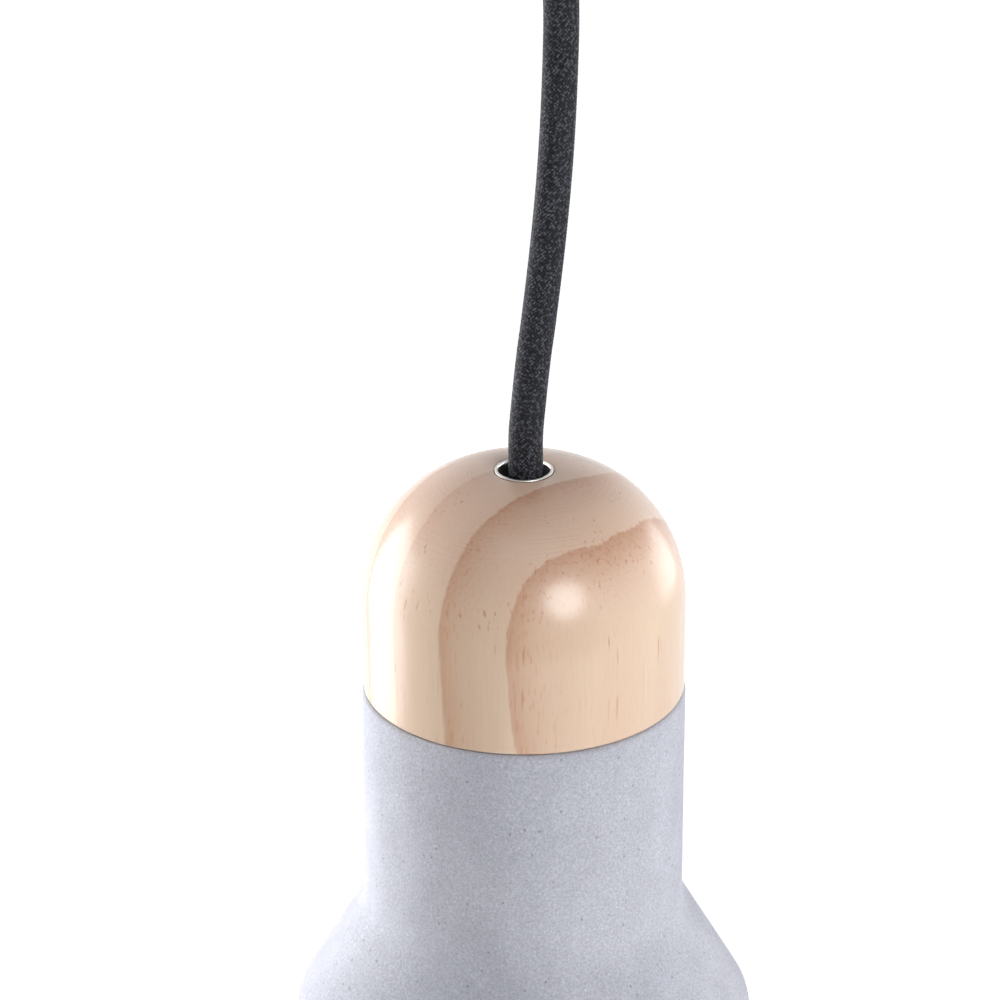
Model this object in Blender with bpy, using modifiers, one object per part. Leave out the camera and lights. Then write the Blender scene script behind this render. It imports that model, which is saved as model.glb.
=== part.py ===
"""Pendant ceiling light: a cast concrete shade under a turned wooden cap, on a braided cord.

Everything hangs below the ceiling plane at Z = 0, and the light's axis is the Z axis.
"""

import math

import bmesh
import bpy
from mathutils import Matrix, Vector

MM = 0.001
GAP = 0.3 * MM  # clearance between pieces that touch

# Flats round a turned piece, by its size
BIG = 32
MEDIUM = 24
SMALL = 16
TINY = 10

# Heights, stacked downwards from the ceiling
CANOPY_DEPTH = 26.0 * MM
GRIP_DROP = 44.0 * MM  # ceiling to the mouth of the cord grip, the point the light swings from
CORD_DROP = 144.0 * MM  # mouth of the grip to the top of the wooden cap
CAP_HEIGHT = 47.0 * MM
SHADE_HEIGHT = 148.0 * MM
PIVOT_Z = -GRIP_DROP
CAP_TOP_Z = PIVOT_Z - CORD_DROP
SEAM_Z = CAP_TOP_Z - CAP_HEIGHT  # joint between the wood and the concrete

# Braided cord, and the insulated cores inside it
CORD_RADIUS = 3.4 * MM
CORE_RADIUS = 0.9 * MM
CORE_OFFSET = 1.8 * MM  # from the cord's centre to a core's centre

# Ceiling fitting
CANOPY_RADIUS = 50.0 * MM
CANOPY_WALL = 1.2 * MM
CANOPY_CORNER = 4.0 * MM
STRAP_REACH = 47.4 * MM
STRAP_WIDTH = 18.0 * MM
STRAP_THICKNESS = 2.0 * MM
STRAP_EAR = 14.0 * MM
STRAP_SLOT_X = 34.0 * MM
SLOT_WIDTH = 5.2 * MM
SLOT_LENGTH = 12.0 * MM
CANOPY_SCREW_Z = -9.0 * MM
EARTH_SCREW_X = 24.0 * MM
M4_RADIUS = 1.9 * MM
M4_HOLE = 2.2 * MM
PIPE_RADIUS = 4.95 * MM  # M10 x 1 lighting thread
PIPE_HOLE = 5.3 * MM
PIPE_BORE = 4.0 * MM
NUT_ACROSS_FLATS = 14.0 * MM
GRIP_RADIUS = 8.0 * MM
GRIP_BORE = 3.75 * MM
GRIP_MOUTH = 6.5 * MM
GRIP_SCREW_Z = -31.0 * MM
CORD_NECK_Z = (-34.3 * MM, -39.5 * MM)
CORD_TAIL_TOP_Z = -18.0 * MM
POLE_PITCH = 9.0 * MM
POLE_Z = -6.5 * MM
BLOCK_SIZE = (28.0 * MM, 16.0 * MM, 9.0 * MM)
SLEEVE_RADIUS = 2.6 * MM

# Wooden cap and its ferrule
CAP_RADIUS = 32.5 * MM
CAP_CORNER_R = 26.0 * MM  # the rounded corner is an ellipse: this across, the next down
CAP_CORNER_Z = 27.5 * MM
CAP_CAVITY_RADIUS = 21.8 * MM
SPIGOT_RADIUS = 25.2 * MM
SPIGOT_DEPTH = 5.0 * MM
FERRULE_RADIUS = 5.65 * MM
FERRULE_WALL = 0.55 * MM
FERRULE_HOLE = 5.95 * MM
FERRULE_LENGTH = 8.0 * MM

# Concrete shade
NECK_RADIUS = 32.75 * MM
NECK_BORE = 25.0 * MM
RECESS_RADIUS = 25.6 * MM
RECESS_DEPTH = 8.0 * MM
WEB_THICKNESS = 8.0 * MM
KINK_DEPTH = 48.0 * MM  # seam to the corner between the neck and the shoulder
KINK_FILLET = 12.0 * MM
SHOULDER_ANGLE = math.radians(30)  # from the light's axis
SHOULDER_ROUND = 5.0 * MM
BODY_RADIUS = 47.3 * MM
RIM_RADIUS = 46.2 * MM
SHADE_WALL = 6.8 * MM
RIM_ROUND = 2.0 * MM

# Lampholder, in depths below the seam
HOLDER_TOP = 17.6 * MM
HOLDER_SPLIT = 45.0 * MM
HOLDER_RADIUS = 21.0 * MM
TERMINAL_X = 11.0 * MM

# Bulb, in depths below the seam
BULB_TOP = 52.0 * MM
BULB_COLLAR_BOTTOM = 92.0 * MM
BULB_COLLAR_RADIUS = 19.5 * MM
BULB_RADIUS = 27.5 * MM
BULB_BOTTOM = 147.0 * MM
GLOBE_WALL = 1.2 * MM

# The free cord's route, as (sideways, height above the wooden cap) in millimetres
CORD_ROUTE = [
    (0.0, -11.0), (0.2, -5.0), (0.35, 0.0), (0.35, 7.5), (1.0, 15.5), (1.9, 24.5),
    (2.9, 32.5), (4.7, 49.0), (6.0, 65.0), (6.75, 81.0), (6.95, 96.5), (5.9, 108.0),
    (3.5, 119.0), (1.1, 130.0), (0.1, 139.0), (0.0, 144.5),
]  # fmt: skip
CORD_POINTS = 18

COLOURS = {
    "concrete": ((0.56, 0.58, 0.61), 0.75, 0.0),
    "pine": ((0.78, 0.58, 0.40), 0.30, 0.0),
    "braid": ((0.03, 0.03, 0.035), 0.80, 0.0),
    "nickel": ((0.80, 0.79, 0.77), 0.15, 1.0),
    "black_steel": ((0.02, 0.02, 0.02), 0.45, 0.0),
    "zinc_steel": ((0.62, 0.62, 0.60), 0.35, 1.0),
    "brass": ((0.80, 0.62, 0.30), 0.25, 1.0),
    "black_nylon": ((0.02, 0.02, 0.02), 0.50, 0.0),
    "white_plastic": ((0.85, 0.85, 0.83), 0.40, 0.0),
    "ceramic": ((0.88, 0.87, 0.83), 0.30, 0.0),
    "opal": ((0.92, 0.92, 0.90), 0.25, 0.0),
    "board": ((0.10, 0.35, 0.20), 0.50, 0.0),
    "brown_core": ((0.22, 0.09, 0.03), 0.45, 0.0),
    "blue_core": ((0.03, 0.12, 0.45), 0.45, 0.0),
    "earth_core": ((0.25, 0.45, 0.05), 0.45, 0.0),
}


def clear_scene():
    for obj in list(bpy.data.objects):
        bpy.data.objects.remove(obj, do_unlink=True)


def new_collection(name):
    collection = bpy.data.collections.new(name)
    bpy.context.scene.collection.children.link(collection)
    return collection


def make_material(name):
    colour, roughness, metallic = COLOURS[name]
    material = bpy.data.materials.new(name)
    material.use_nodes = True
    shader = material.node_tree.nodes["Principled BSDF"]
    shader.inputs["Base Color"].default_value = (*colour, 1.0)
    shader.inputs["Roughness"].default_value = roughness
    shader.inputs["Metallic"].default_value = metallic
    return material


clear_scene()
LIGHT = new_collection("pendant_ceiling_light")
CUTTERS = new_collection("cutters")
MATERIALS = {name: make_material(name) for name in COLOURS}
PIVOTS = {}


def add_pivot(name, position):
    """An empty on a joint's axis, which the pieces that move with that joint hang from."""
    pivot = bpy.data.objects.new(name, None)
    pivot.empty_display_size = 10 * MM
    pivot.location = position
    LIGHT.objects.link(pivot)
    PIVOTS[name] = pivot


def keep(obj, material, pivot=None):
    """Gives a finished piece its material and hangs it from its joint's pivot."""
    obj.data.materials.append(MATERIALS[material])
    if pivot:
        obj.parent = PIVOTS[pivot]
        obj.matrix_parent_inverse = Matrix.Translation(PIVOTS[pivot].location).inverted()
    return obj


def mesh_object(name, bm, collection=None):
    mesh = bpy.data.meshes.new(name)
    bm.to_mesh(mesh)
    bm.free()
    obj = bpy.data.objects.new(name, mesh)
    (collection or LIGHT).objects.link(obj)
    return obj


def arc(centre_r, centre_z, radius_r, start, end, steps, radius_z=None):
    """Points on an arc or an ellipse, with its angles in degrees from the +R direction."""
    radius_z = radius_z or radius_r
    points = []
    for step in range(steps + 1):
        angle = math.radians(start + (end - start) * step / steps)
        points.append((centre_r + radius_r * math.cos(angle), centre_z + radius_z * math.sin(angle)))
    return points


def below_seam(points):
    """Turns (radius, depth below the seam) in metres into (radius, Z)."""
    return [(radius, SEAM_Z - depth) for radius, depth in points]


def mm_below_seam(points):
    """The same, from millimetres."""
    return below_seam([(radius * MM, depth * MM) for radius, depth in points])


def turned(name, profile, material, pivot=None, steps=MEDIUM, hollow=True):
    """A turned piece. Its profile runs down the outer side; a hollow one closes on itself."""
    bm = bmesh.new()
    verts = [bm.verts.new((radius, 0, z)) for radius, z in profile]
    for first, second in zip(verts, verts[1:]):
        bm.edges.new((first, second))
    if hollow:
        bm.edges.new((verts[-1], verts[0]))
    obj = mesh_object(name, bm)
    screw = obj.modifiers.new("turn", "SCREW")
    screw.steps = steps
    screw.render_steps = steps
    screw.use_merge_vertices = True
    screw.merge_threshold = 0.00001
    return keep(obj, material, pivot)


def cylinder_mesh(radius, start, end, sides):
    """A closed cylinder between two points, standing free of any object."""
    start, end = Vector(start), Vector(end)
    bm = bmesh.new()
    bmesh.ops.create_cone(
        bm, cap_ends=True, segments=sides, radius1=radius, radius2=radius, depth=(end - start).length
    )
    turn = (end - start).to_track_quat("Z", "Y").to_matrix().to_4x4()
    bmesh.ops.transform(bm, matrix=Matrix.Translation((start + end) / 2) @ turn, verts=bm.verts)
    return bm


def rod(name, radius, start, end, material, pivot=None, sides=SMALL):
    return keep(mesh_object(name, cylinder_mesh(radius, start, end, sides)), material, pivot)


def subtract(obj, cutter):
    cutter.hide_render = True
    cutter.display_type = "WIRE"
    cut = obj.modifiers.new(cutter.name, "BOOLEAN")
    cut.operation = "DIFFERENCE"
    cut.solver = "EXACT"
    cut.object = cutter


def bore(obj, name, radius, start, end, sides=SMALL):
    subtract(obj, mesh_object(name, cylinder_mesh(radius, start, end, sides), CUTTERS))


def hex_nut(name, top_z, thickness, material, pivot=None):
    """A hexagon nut for the M10 x 1 thread, centred on the light's axis."""
    corner_radius = NUT_ACROSS_FLATS / 2 / math.cos(math.pi / 6)
    bm = cylinder_mesh(corner_radius, (0, 0, top_z - thickness), (0, 0, top_z), 6)
    nut = keep(mesh_object(name, bm), material, pivot)
    margin = 1 * MM
    bore(nut, name + "_hole", PIPE_HOLE, (0, 0, top_z - thickness - margin), (0, 0, top_z + margin))
    return nut


def screw_piece(name, head_radius, head_length, shank_radius, shank_length, seat, direction,
                material, pivot=None):  # fmt: skip
    """A screw along a direction: its head's underside is at the seat, and its shank leads on."""
    profile = [
        (0, -head_length),
        (head_radius * 0.75, -head_length),
        (head_radius, -head_length * 0.7),
        (head_radius, 0),
        (shank_radius, 0),
        (shank_radius, shank_length),
        (0, shank_length),
    ]
    obj = turned(name, [(r, -z) for r, z in profile], material, pivot, TINY, hollow=False)
    axis = -Vector(direction).normalized()
    obj.matrix_basis = Matrix.Translation(seat) @ axis.to_track_quat("Z", "Y").to_matrix().to_4x4()
    return obj


def smooth_route(points, count):
    """Reads a Catmull-Rom curve through the points at even parameter steps."""
    ends = [points[0] * 2 - points[1], *points, points[-1] * 2 - points[-2]]
    spans = len(points) - 1
    route = []
    for index in range(count):
        along = index * spans / (count - 1)
        span = min(int(along), spans - 1)
        t = along - span
        a, b, c, d = ends[span : span + 4]
        route.append(
            0.5 * (2 * b + (c - a) * t + (2 * a - 5 * b + 4 * c - d) * t**2 + (3 * b - a - 3 * c + d) * t**3)
        )
    return route


def even_route(points, count):
    """The same curve, with its points an equal distance apart along it."""
    fine = smooth_route(points, 400)
    travelled = [0.0]
    for first, second in zip(fine, fine[1:]):
        travelled.append(travelled[-1] + (second - first).length)
    route = []
    index = 0
    for step in range(count):
        target = travelled[-1] * step / (count - 1)
        while index < len(fine) - 2 and travelled[index + 1] < target:
            index += 1
        share = (target - travelled[index]) / (travelled[index + 1] - travelled[index])
        route.append(fine[index].lerp(fine[index + 1], share))
    return route


def tube(name, points, radius, material, pivot=None, resolution=2):
    curve = bpy.data.curves.new(name, "CURVE")
    curve.dimensions = "3D"
    curve.bevel_depth = radius
    curve.bevel_resolution = resolution
    curve.use_fill_caps = True
    spline = curve.splines.new("POLY")
    spline.points.add(len(points) - 1)
    for spot, point in zip(spline.points, points):
        spot.co = (*point, 1)
    obj = bpy.data.objects.new(name, curve)
    LIGHT.objects.link(obj)
    return keep(obj, material, pivot)


def core_wire(name, points_mm, material, pivot=None):
    """One insulated core, through points in millimetres."""
    points = [Vector(point) * MM for point in points_mm]
    return tube(name, even_route(points, 10), CORE_RADIUS, material, pivot, resolution=1)


def flat_plate(name, outline, thickness, material, pivot=None):
    """A flat outline in the XZ plane, given a thickness along Y."""
    curve = bpy.data.curves.new(name, "CURVE")
    curve.dimensions = "2D"
    curve.fill_mode = "BOTH"
    curve.extrude = thickness / 2
    spline = curve.splines.new("POLY")
    spline.points.add(len(outline) - 1)
    for spot, (x, z) in zip(spline.points, outline):
        spot.co = (x, z, 0, 1)
    spline.use_cyclic_u = True
    obj = bpy.data.objects.new(name, curve)
    obj.rotation_euler = (math.pi / 2, 0, 0)
    LIGHT.objects.link(obj)
    return keep(obj, material, pivot)


def as_mesh(obj):
    """Replaces a curve object with a welded mesh, so that it can be cut."""
    bpy.context.view_layer.update()
    evaluated = obj.evaluated_get(bpy.context.evaluated_depsgraph_get())
    mesh = bpy.data.meshes.new_from_object(evaluated)
    bm = bmesh.new()
    bm.from_mesh(mesh)
    bmesh.ops.remove_doubles(bm, verts=bm.verts, dist=0.00001)
    bm.to_mesh(mesh)
    bm.free()
    name, parent, place = obj.name, obj.parent, obj.matrix_world.copy()
    bpy.data.objects.remove(obj, do_unlink=True)
    solid = bpy.data.objects.new(name, mesh)
    LIGHT.objects.link(solid)
    solid.parent = parent
    solid.matrix_world = place
    return solid


def box(name, low, high, material, pivot=None):
    bm = bmesh.new()
    bmesh.ops.create_cube(bm, size=1)
    low, high = Vector(low), Vector(high)
    size = high - low
    stretch = Matrix.Diagonal((*size, 1))
    bmesh.ops.transform(bm, matrix=Matrix.Translation((low + high) / 2) @ stretch, verts=bm.verts)
    return keep(mesh_object(name, bm), material, pivot)


def make_strap():
    """The steel strap on the ceiling, with two bent ears that the canopy is screwed to."""
    reach, ear, thick = STRAP_REACH, -STRAP_EAR, STRAP_THICKNESS
    outline = [
        (-reach, ear), (-reach, 0), (reach, 0), (reach, ear),
        (reach - thick, ear), (reach - thick, -thick), (thick - reach, -thick), (thick - reach, ear),
    ]  # fmt: skip
    strap = as_mesh(flat_plate("mounting_strap", outline, STRAP_WIDTH, "zinc_steel"))
    past = 1 * MM
    half = (SLOT_LENGTH - SLOT_WIDTH) / 2
    for side, x in (("left", -STRAP_SLOT_X), ("right", STRAP_SLOT_X)):
        slot = cylinder_mesh(SLOT_WIDTH / 2, (0, 0, -thick - past), (0, 0, past), SMALL)
        for vert in slot.verts:
            vert.co.x += x + math.copysign(half, vert.co.x)
        subtract(strap, mesh_object("strap_slot_" + side, slot, CUTTERS))
    ear_start = reach - thick - past
    for side, sign in (("left", -1), ("right", 1)):
        start = (sign * ear_start, 0, CANOPY_SCREW_Z)
        end = (sign * (reach + past), 0, CANOPY_SCREW_Z)
        bore(strap, "strap_ear_hole_" + side, M4_HOLE, start, end)
    bore(strap, "strap_earth_hole", M4_HOLE, (EARTH_SCREW_X, 0, -thick - past), (EARTH_SCREW_X, 0, past))


def make_canopy():
    """The steel cup that hides the ceiling connection."""
    inner = CANOPY_RADIUS - CANOPY_WALL
    inner_corner = CANOPY_CORNER - CANOPY_WALL
    floor = -CANOPY_DEPTH
    corner_r = CANOPY_RADIUS - CANOPY_CORNER
    corner_z = floor + CANOPY_CORNER
    profile = [(inner, -GAP), (CANOPY_RADIUS, -GAP)]
    profile += arc(corner_r, corner_z, CANOPY_CORNER, 0, -90, 4)
    profile += [(PIPE_HOLE, floor), (PIPE_HOLE, floor + CANOPY_WALL)]
    profile += arc(corner_r, corner_z, inner_corner, -90, 0, 3)
    canopy = turned("ceiling_canopy", profile, "black_steel", steps=BIG)
    for side, sign in (("left", -1), ("right", 1)):
        start = (sign * (inner - 2 * MM), 0, CANOPY_SCREW_Z)
        end = (sign * (CANOPY_RADIUS + 2 * MM), 0, CANOPY_SCREW_Z)
        bore(canopy, "canopy_side_hole_" + side, M4_HOLE, start, end)
        seat = (sign * (CANOPY_RADIUS + GAP), 0, CANOPY_SCREW_Z)
        screw_piece("canopy_screw_" + side, 3.8 * MM, 2.6 * MM, M4_RADIUS, 9 * MM, seat, (-sign, 0, 0),
                    "zinc_steel")  # fmt: skip


def make_cord_grip():
    """The nylon grip that holds the cord, clamped through the canopy by a nut."""
    flange_top = -CANOPY_DEPTH - GAP
    flange_bottom = flange_top - 2.7 * MM
    lip = 1.2 * MM
    profile = [
        (GRIP_BORE, CORD_TAIL_TOP_Z - 1 * MM),
        (PIPE_RADIUS, CORD_TAIL_TOP_Z - 1 * MM),
        (PIPE_RADIUS, flange_top),
        (GRIP_RADIUS + 1 * MM, flange_top),
        (GRIP_RADIUS + 1 * MM, flange_bottom + 0.6 * MM),
        (GRIP_RADIUS + 0.4 * MM, flange_bottom),
        (GRIP_RADIUS, flange_bottom),
    ]
    profile += arc(GRIP_RADIUS - lip, PIVOT_Z + lip, lip, 0, -90, 2)
    profile += [(GRIP_MOUTH, PIVOT_Z), (GRIP_BORE, PIVOT_Z + 4 * MM)]
    grip = turned("cord_grip_body", profile, "black_nylon", steps=SMALL)
    start = (GRIP_BORE - 1 * MM, 0, GRIP_SCREW_Z)
    bore(grip, "grip_screw_hole", M4_HOLE, start, (GRIP_RADIUS + 2 * MM, 0, GRIP_SCREW_Z))
    tip = CORD_RADIUS + 0.5 * MM
    rod("cord_grip_screw", M4_RADIUS, (tip, 0, GRIP_SCREW_Z), (GRIP_RADIUS + 1 * MM, 0, GRIP_SCREW_Z),
        "black_nylon")  # fmt: skip
    nut_top = -CANOPY_DEPTH + CANOPY_WALL + GAP + 4 * MM
    hex_nut("cord_grip_nut", nut_top, 4 * MM, "black_nylon")


def make_terminals():
    """A three-pole terminal block under the strap, with brass sleeves and clamping screws."""
    width, depth, height = BLOCK_SIZE
    top = -STRAP_THICKNESS - GAP
    block = box("terminal_block", (-width / 2, -depth / 2, top - height), (width / 2, depth / 2, top),
                "white_plastic")  # fmt: skip
    past = 1 * MM
    for pole, place in (("live", -1), ("earth", 0), ("neutral", 1)):
        x = place * POLE_PITCH
        start, end = (x, -depth / 2 - past, POLE_Z), (x, depth / 2 + past, POLE_Z)
        bore(block, "block_bore_" + pole, SLEEVE_RADIUS + GAP, start, end, TINY)
        bottom = top - height
        screw_y = -4 * MM
        start, end = (x, screw_y, bottom - past), (x, screw_y, POLE_Z)
        bore(block, "block_screw_hole_" + pole, 1.7 * MM, start, end, TINY)
        length = depth / 2 - past
        start, end = (x, -length, POLE_Z), (x, length, POLE_Z)
        sleeve = rod("terminal_sleeve_" + pole, SLEEVE_RADIUS, start, end, "brass", sides=TINY)
        bore(sleeve, "sleeve_bore_" + pole, 1.6 * MM, (x, -depth, POLE_Z), (x, depth, POLE_Z), TINY)
        seat = (x, screw_y, bottom - GAP)
        reach = POLE_Z - SLEEVE_RADIUS - GAP - seat[2]
        screw_piece("terminal_screw_" + pole, 1.6 * MM, 0.8 * MM, 1.3 * MM, reach, seat, (0, 0, 1),
                    "zinc_steel")  # fmt: skip
    screw_piece("strap_earth_screw", 3.4 * MM, 2 * MM, M4_RADIUS, 1.8 * MM,
                (EARTH_SCREW_X, 0, -STRAP_THICKNESS - GAP), (0, 0, 1), "brass")  # fmt: skip


def make_upper_cord():
    """The cord's end inside the grip and the canopy, and its three cores."""
    tail = [Vector((0, 0, z)) for z in (CORD_NECK_Z[0] + GAP, CORD_TAIL_TOP_Z)]
    tube("cord_tail", tail, CORD_RADIUS, "braid")
    neck = [Vector((0, 0, z)) for z in CORD_NECK_Z]
    tube("cord_neck", neck, CORD_RADIUS, "braid", "cord_twist")
    start_z = (CORD_TAIL_TOP_Z + GAP) / MM + 0.2
    offset = CORE_OFFSET / MM
    into = [(-13.0, -11.5), (-13.2, -8.6), (-11.0, -6.7), (-8.0, -6.5), (-4.5, -6.5)]
    for name, material, x0, y0, pole_x in (
        ("live_core_upper", "brown_core", -offset, 0.4, -9.0),
        ("neutral_core_upper", "blue_core", offset, 0.4, 9.0),
        ("earth_core_upper", "earth_core", 0.0, -offset, 0.0),
    ):
        points = [(x0, y0, start_z), (x0, y0, start_z + 0.6), (x0 * 1.1, y0 - 0.6, start_z + 1.5)]
        points += [((x0 + pole_x) / 2.4, -4.4, -15.2), ((x0 + 2 * pole_x) / 2.7, -9.5, -14.2)]
        points += [(pole_x, y, z) for y, z in into]
        core_wire(name, points, material)
    link = [
        (0.0, 4.5, -6.5), (0.0, 9.0, -6.5), (2.5, 12.2, -7.0), (8.0, 13.5, -8.0),
        (16.0, 12.2, -7.0), (21.0, 8.6, -5.0), (23.4, 6.0, -3.8), (24.0, 4.6, -3.4),
    ]  # fmt: skip
    core_wire("earth_link_wire", link, "earth_core")


def make_hanging_cord():
    route = [Vector((x * MM, 0, CAP_TOP_Z + height * MM)) for x, height in CORD_ROUTE]
    tube("hanging_cord", even_route(route, CORD_POINTS), CORD_RADIUS, "braid", "pendant_swing")


def make_wooden_cap():
    """The turned wooden cap, which rests on the concrete and is centred by its spigot."""
    half_gap = GAP / 2
    edge = 0.6 * MM
    bottom = SEAM_Z + half_gap
    hole_edge = 0.4 * MM
    cavity_top = CAP_TOP_Z - FERRULE_LENGTH
    profile = [(FERRULE_HOLE, CAP_TOP_Z - hole_edge), (FERRULE_HOLE + hole_edge, CAP_TOP_Z)]
    profile += arc(CAP_RADIUS - CAP_CORNER_R, CAP_TOP_Z - CAP_CORNER_Z, CAP_CORNER_R, 90, 0, 8, CAP_CORNER_Z)
    profile += arc(CAP_RADIUS - edge, bottom + edge, edge, 0, -90, 2)
    profile += [(SPIGOT_RADIUS, bottom), (SPIGOT_RADIUS, SEAM_Z - SPIGOT_DEPTH)]
    profile += [(CAP_CAVITY_RADIUS, SEAM_Z - SPIGOT_DEPTH)]
    dome = 14 * MM
    profile += arc(CAP_CAVITY_RADIUS - dome, cavity_top - dome, dome, 0, 90, 3)
    profile += [(FERRULE_HOLE, cavity_top)]
    turned("wooden_cap", profile, "pine", "cap_lift", steps=BIG)
    outer, inner = FERRULE_RADIUS, FERRULE_RADIUS - FERRULE_WALL
    top = CAP_TOP_Z + half_gap
    ring = [(inner, top), (outer, top), (outer, top - FERRULE_LENGTH), (inner, top - FERRULE_LENGTH)]
    turned("cord_ferrule", ring, "nickel", "cap_lift", steps=SMALL)


def make_concrete_shade():
    """The cast shade: a straight neck, a conical shoulder and a bell open at the bottom."""
    edge = 1.0 * MM
    lean = math.degrees(SHOULDER_ANGLE)
    top = SEAM_Z - GAP / 2
    profile = [(RECESS_RADIUS, top)] + arc(NECK_RADIUS - edge, top - edge, edge, 90, 0, 2)
    fillet_z = SEAM_Z - KINK_DEPTH + KINK_FILLET * math.tan(SHOULDER_ANGLE / 2)
    fillet = arc(NECK_RADIUS + KINK_FILLET, fillet_z, KINK_FILLET, 180, 180 + lean, 3)
    profile += fillet
    cone_start_r, cone_start_z = fillet[-1]
    cone_end_r = BODY_RADIUS - SHOULDER_ROUND * (1 - math.cos(SHOULDER_ANGLE))
    cone_end_z = cone_start_z - (cone_end_r - cone_start_r) / math.tan(SHOULDER_ANGLE)
    round_z = cone_end_z - SHOULDER_ROUND * math.sin(SHOULDER_ANGLE)
    profile += arc(BODY_RADIUS - SHOULDER_ROUND, round_z, SHOULDER_ROUND, lean, 0, 3)
    bottom = SEAM_Z - SHADE_HEIGHT
    rim_z = bottom + RIM_ROUND
    for share in (0.35, 0.7):
        taper = (BODY_RADIUS - RIM_RADIUS) * share**2
        profile.append((BODY_RADIUS - taper, round_z + (rim_z - round_z) * share))
    profile += arc(RIM_RADIUS - RIM_ROUND, rim_z, RIM_ROUND, 0, -90, 2)
    rim_bore = RIM_RADIUS - SHADE_WALL
    profile += arc(rim_bore + RIM_ROUND, rim_z, RIM_ROUND, -90, -180, 2)
    # The inner shoulder is the outer one moved in by the wall, square to its slope.
    inner_r = cone_start_r - SHADE_WALL * math.cos(SHOULDER_ANGLE)
    inner_z = cone_start_z - SHADE_WALL * math.sin(SHOULDER_ANGLE)
    body_bore = BODY_RADIUS - SHADE_WALL
    profile += [
        (body_bore, inner_z - (body_bore - inner_r) / math.tan(SHOULDER_ANGLE)),
        (NECK_BORE, inner_z + (inner_r - NECK_BORE) / math.tan(SHOULDER_ANGLE)),
        (NECK_BORE, SEAM_Z - RECESS_DEPTH - WEB_THICKNESS),
        (PIPE_HOLE, SEAM_Z - RECESS_DEPTH - WEB_THICKNESS),
        (PIPE_HOLE, SEAM_Z - RECESS_DEPTH),
        (RECESS_RADIUS, SEAM_Z - RECESS_DEPTH),
    ]
    turned("concrete_shade", profile, "concrete", "pendant_swing", steps=BIG)


def make_nipple_stack():
    """What holds the shade: the threaded pipe, washers and nut, and the cord's strain relief."""
    pivot = "pendant_swing"
    pipe = [(PIPE_BORE, -2.2), (PIPE_RADIUS, -2.2), (PIPE_RADIUS, 25.0), (PIPE_BORE, 25.0)]
    turned("threaded_nipple", below_seam([(r, d * MM) for r, d in pipe]), "zinc_steel", pivot, SMALL)
    web_top, web_bottom = RECESS_DEPTH, RECESS_DEPTH + WEB_THICKNESS
    for name, radius, top in (
        ("upper_washer", 9.0 * MM, web_top - GAP - 1 * MM),
        ("lower_washer", 12.0 * MM, web_bottom + GAP),
    ):
        ring = [(PIPE_HOLE, top), (radius, top), (radius, top + 1 * MM), (PIPE_HOLE, top + 1 * MM)]
        turned(name, below_seam(ring), "zinc_steel", pivot, SMALL)
    nut_bottom = SEAM_Z - (web_top - 2 * GAP - 1 * MM)
    nut_thickness = 3.5 * MM
    hex_nut("nipple_nut", nut_bottom + nut_thickness, nut_thickness, "zinc_steel", pivot)
    relief_bottom = -(nut_bottom + nut_thickness + GAP - SEAM_Z)
    radius = 8.5 * MM
    relief = turned(
        "strain_relief",
        below_seam(
            [
                (GRIP_BORE, -14 * MM),
                (radius - 1.5 * MM, -14 * MM),
                (radius, -12.5 * MM),
                (radius, relief_bottom),
                (PIPE_HOLE, relief_bottom),
                (PIPE_HOLE, -2.6 * MM),
                (GRIP_BORE, -2.6 * MM),
            ]
        ),
        "black_nylon",
        pivot,
        SMALL,
    )
    screw_z = SEAM_Z + 8 * MM
    bore(relief, "relief_screw_hole", M4_HOLE, (3 * MM, 0, screw_z), (radius + 2 * MM, 0, screw_z))
    start = (CORD_RADIUS + 0.5 * MM, 0, screw_z)
    rod("strain_relief_screw", M4_RADIUS, start, (radius + 1 * MM, 0, screw_z), "black_nylon", pivot)
    route_end = CAP_TOP_Z + CORD_ROUTE[0][1] * MM
    inner = [Vector((0, 0, z)) for z in (route_end - GAP, SEAM_Z - 21 * MM)]
    tube("inner_cord", inner, CORD_RADIUS, "braid", pivot)


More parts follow.
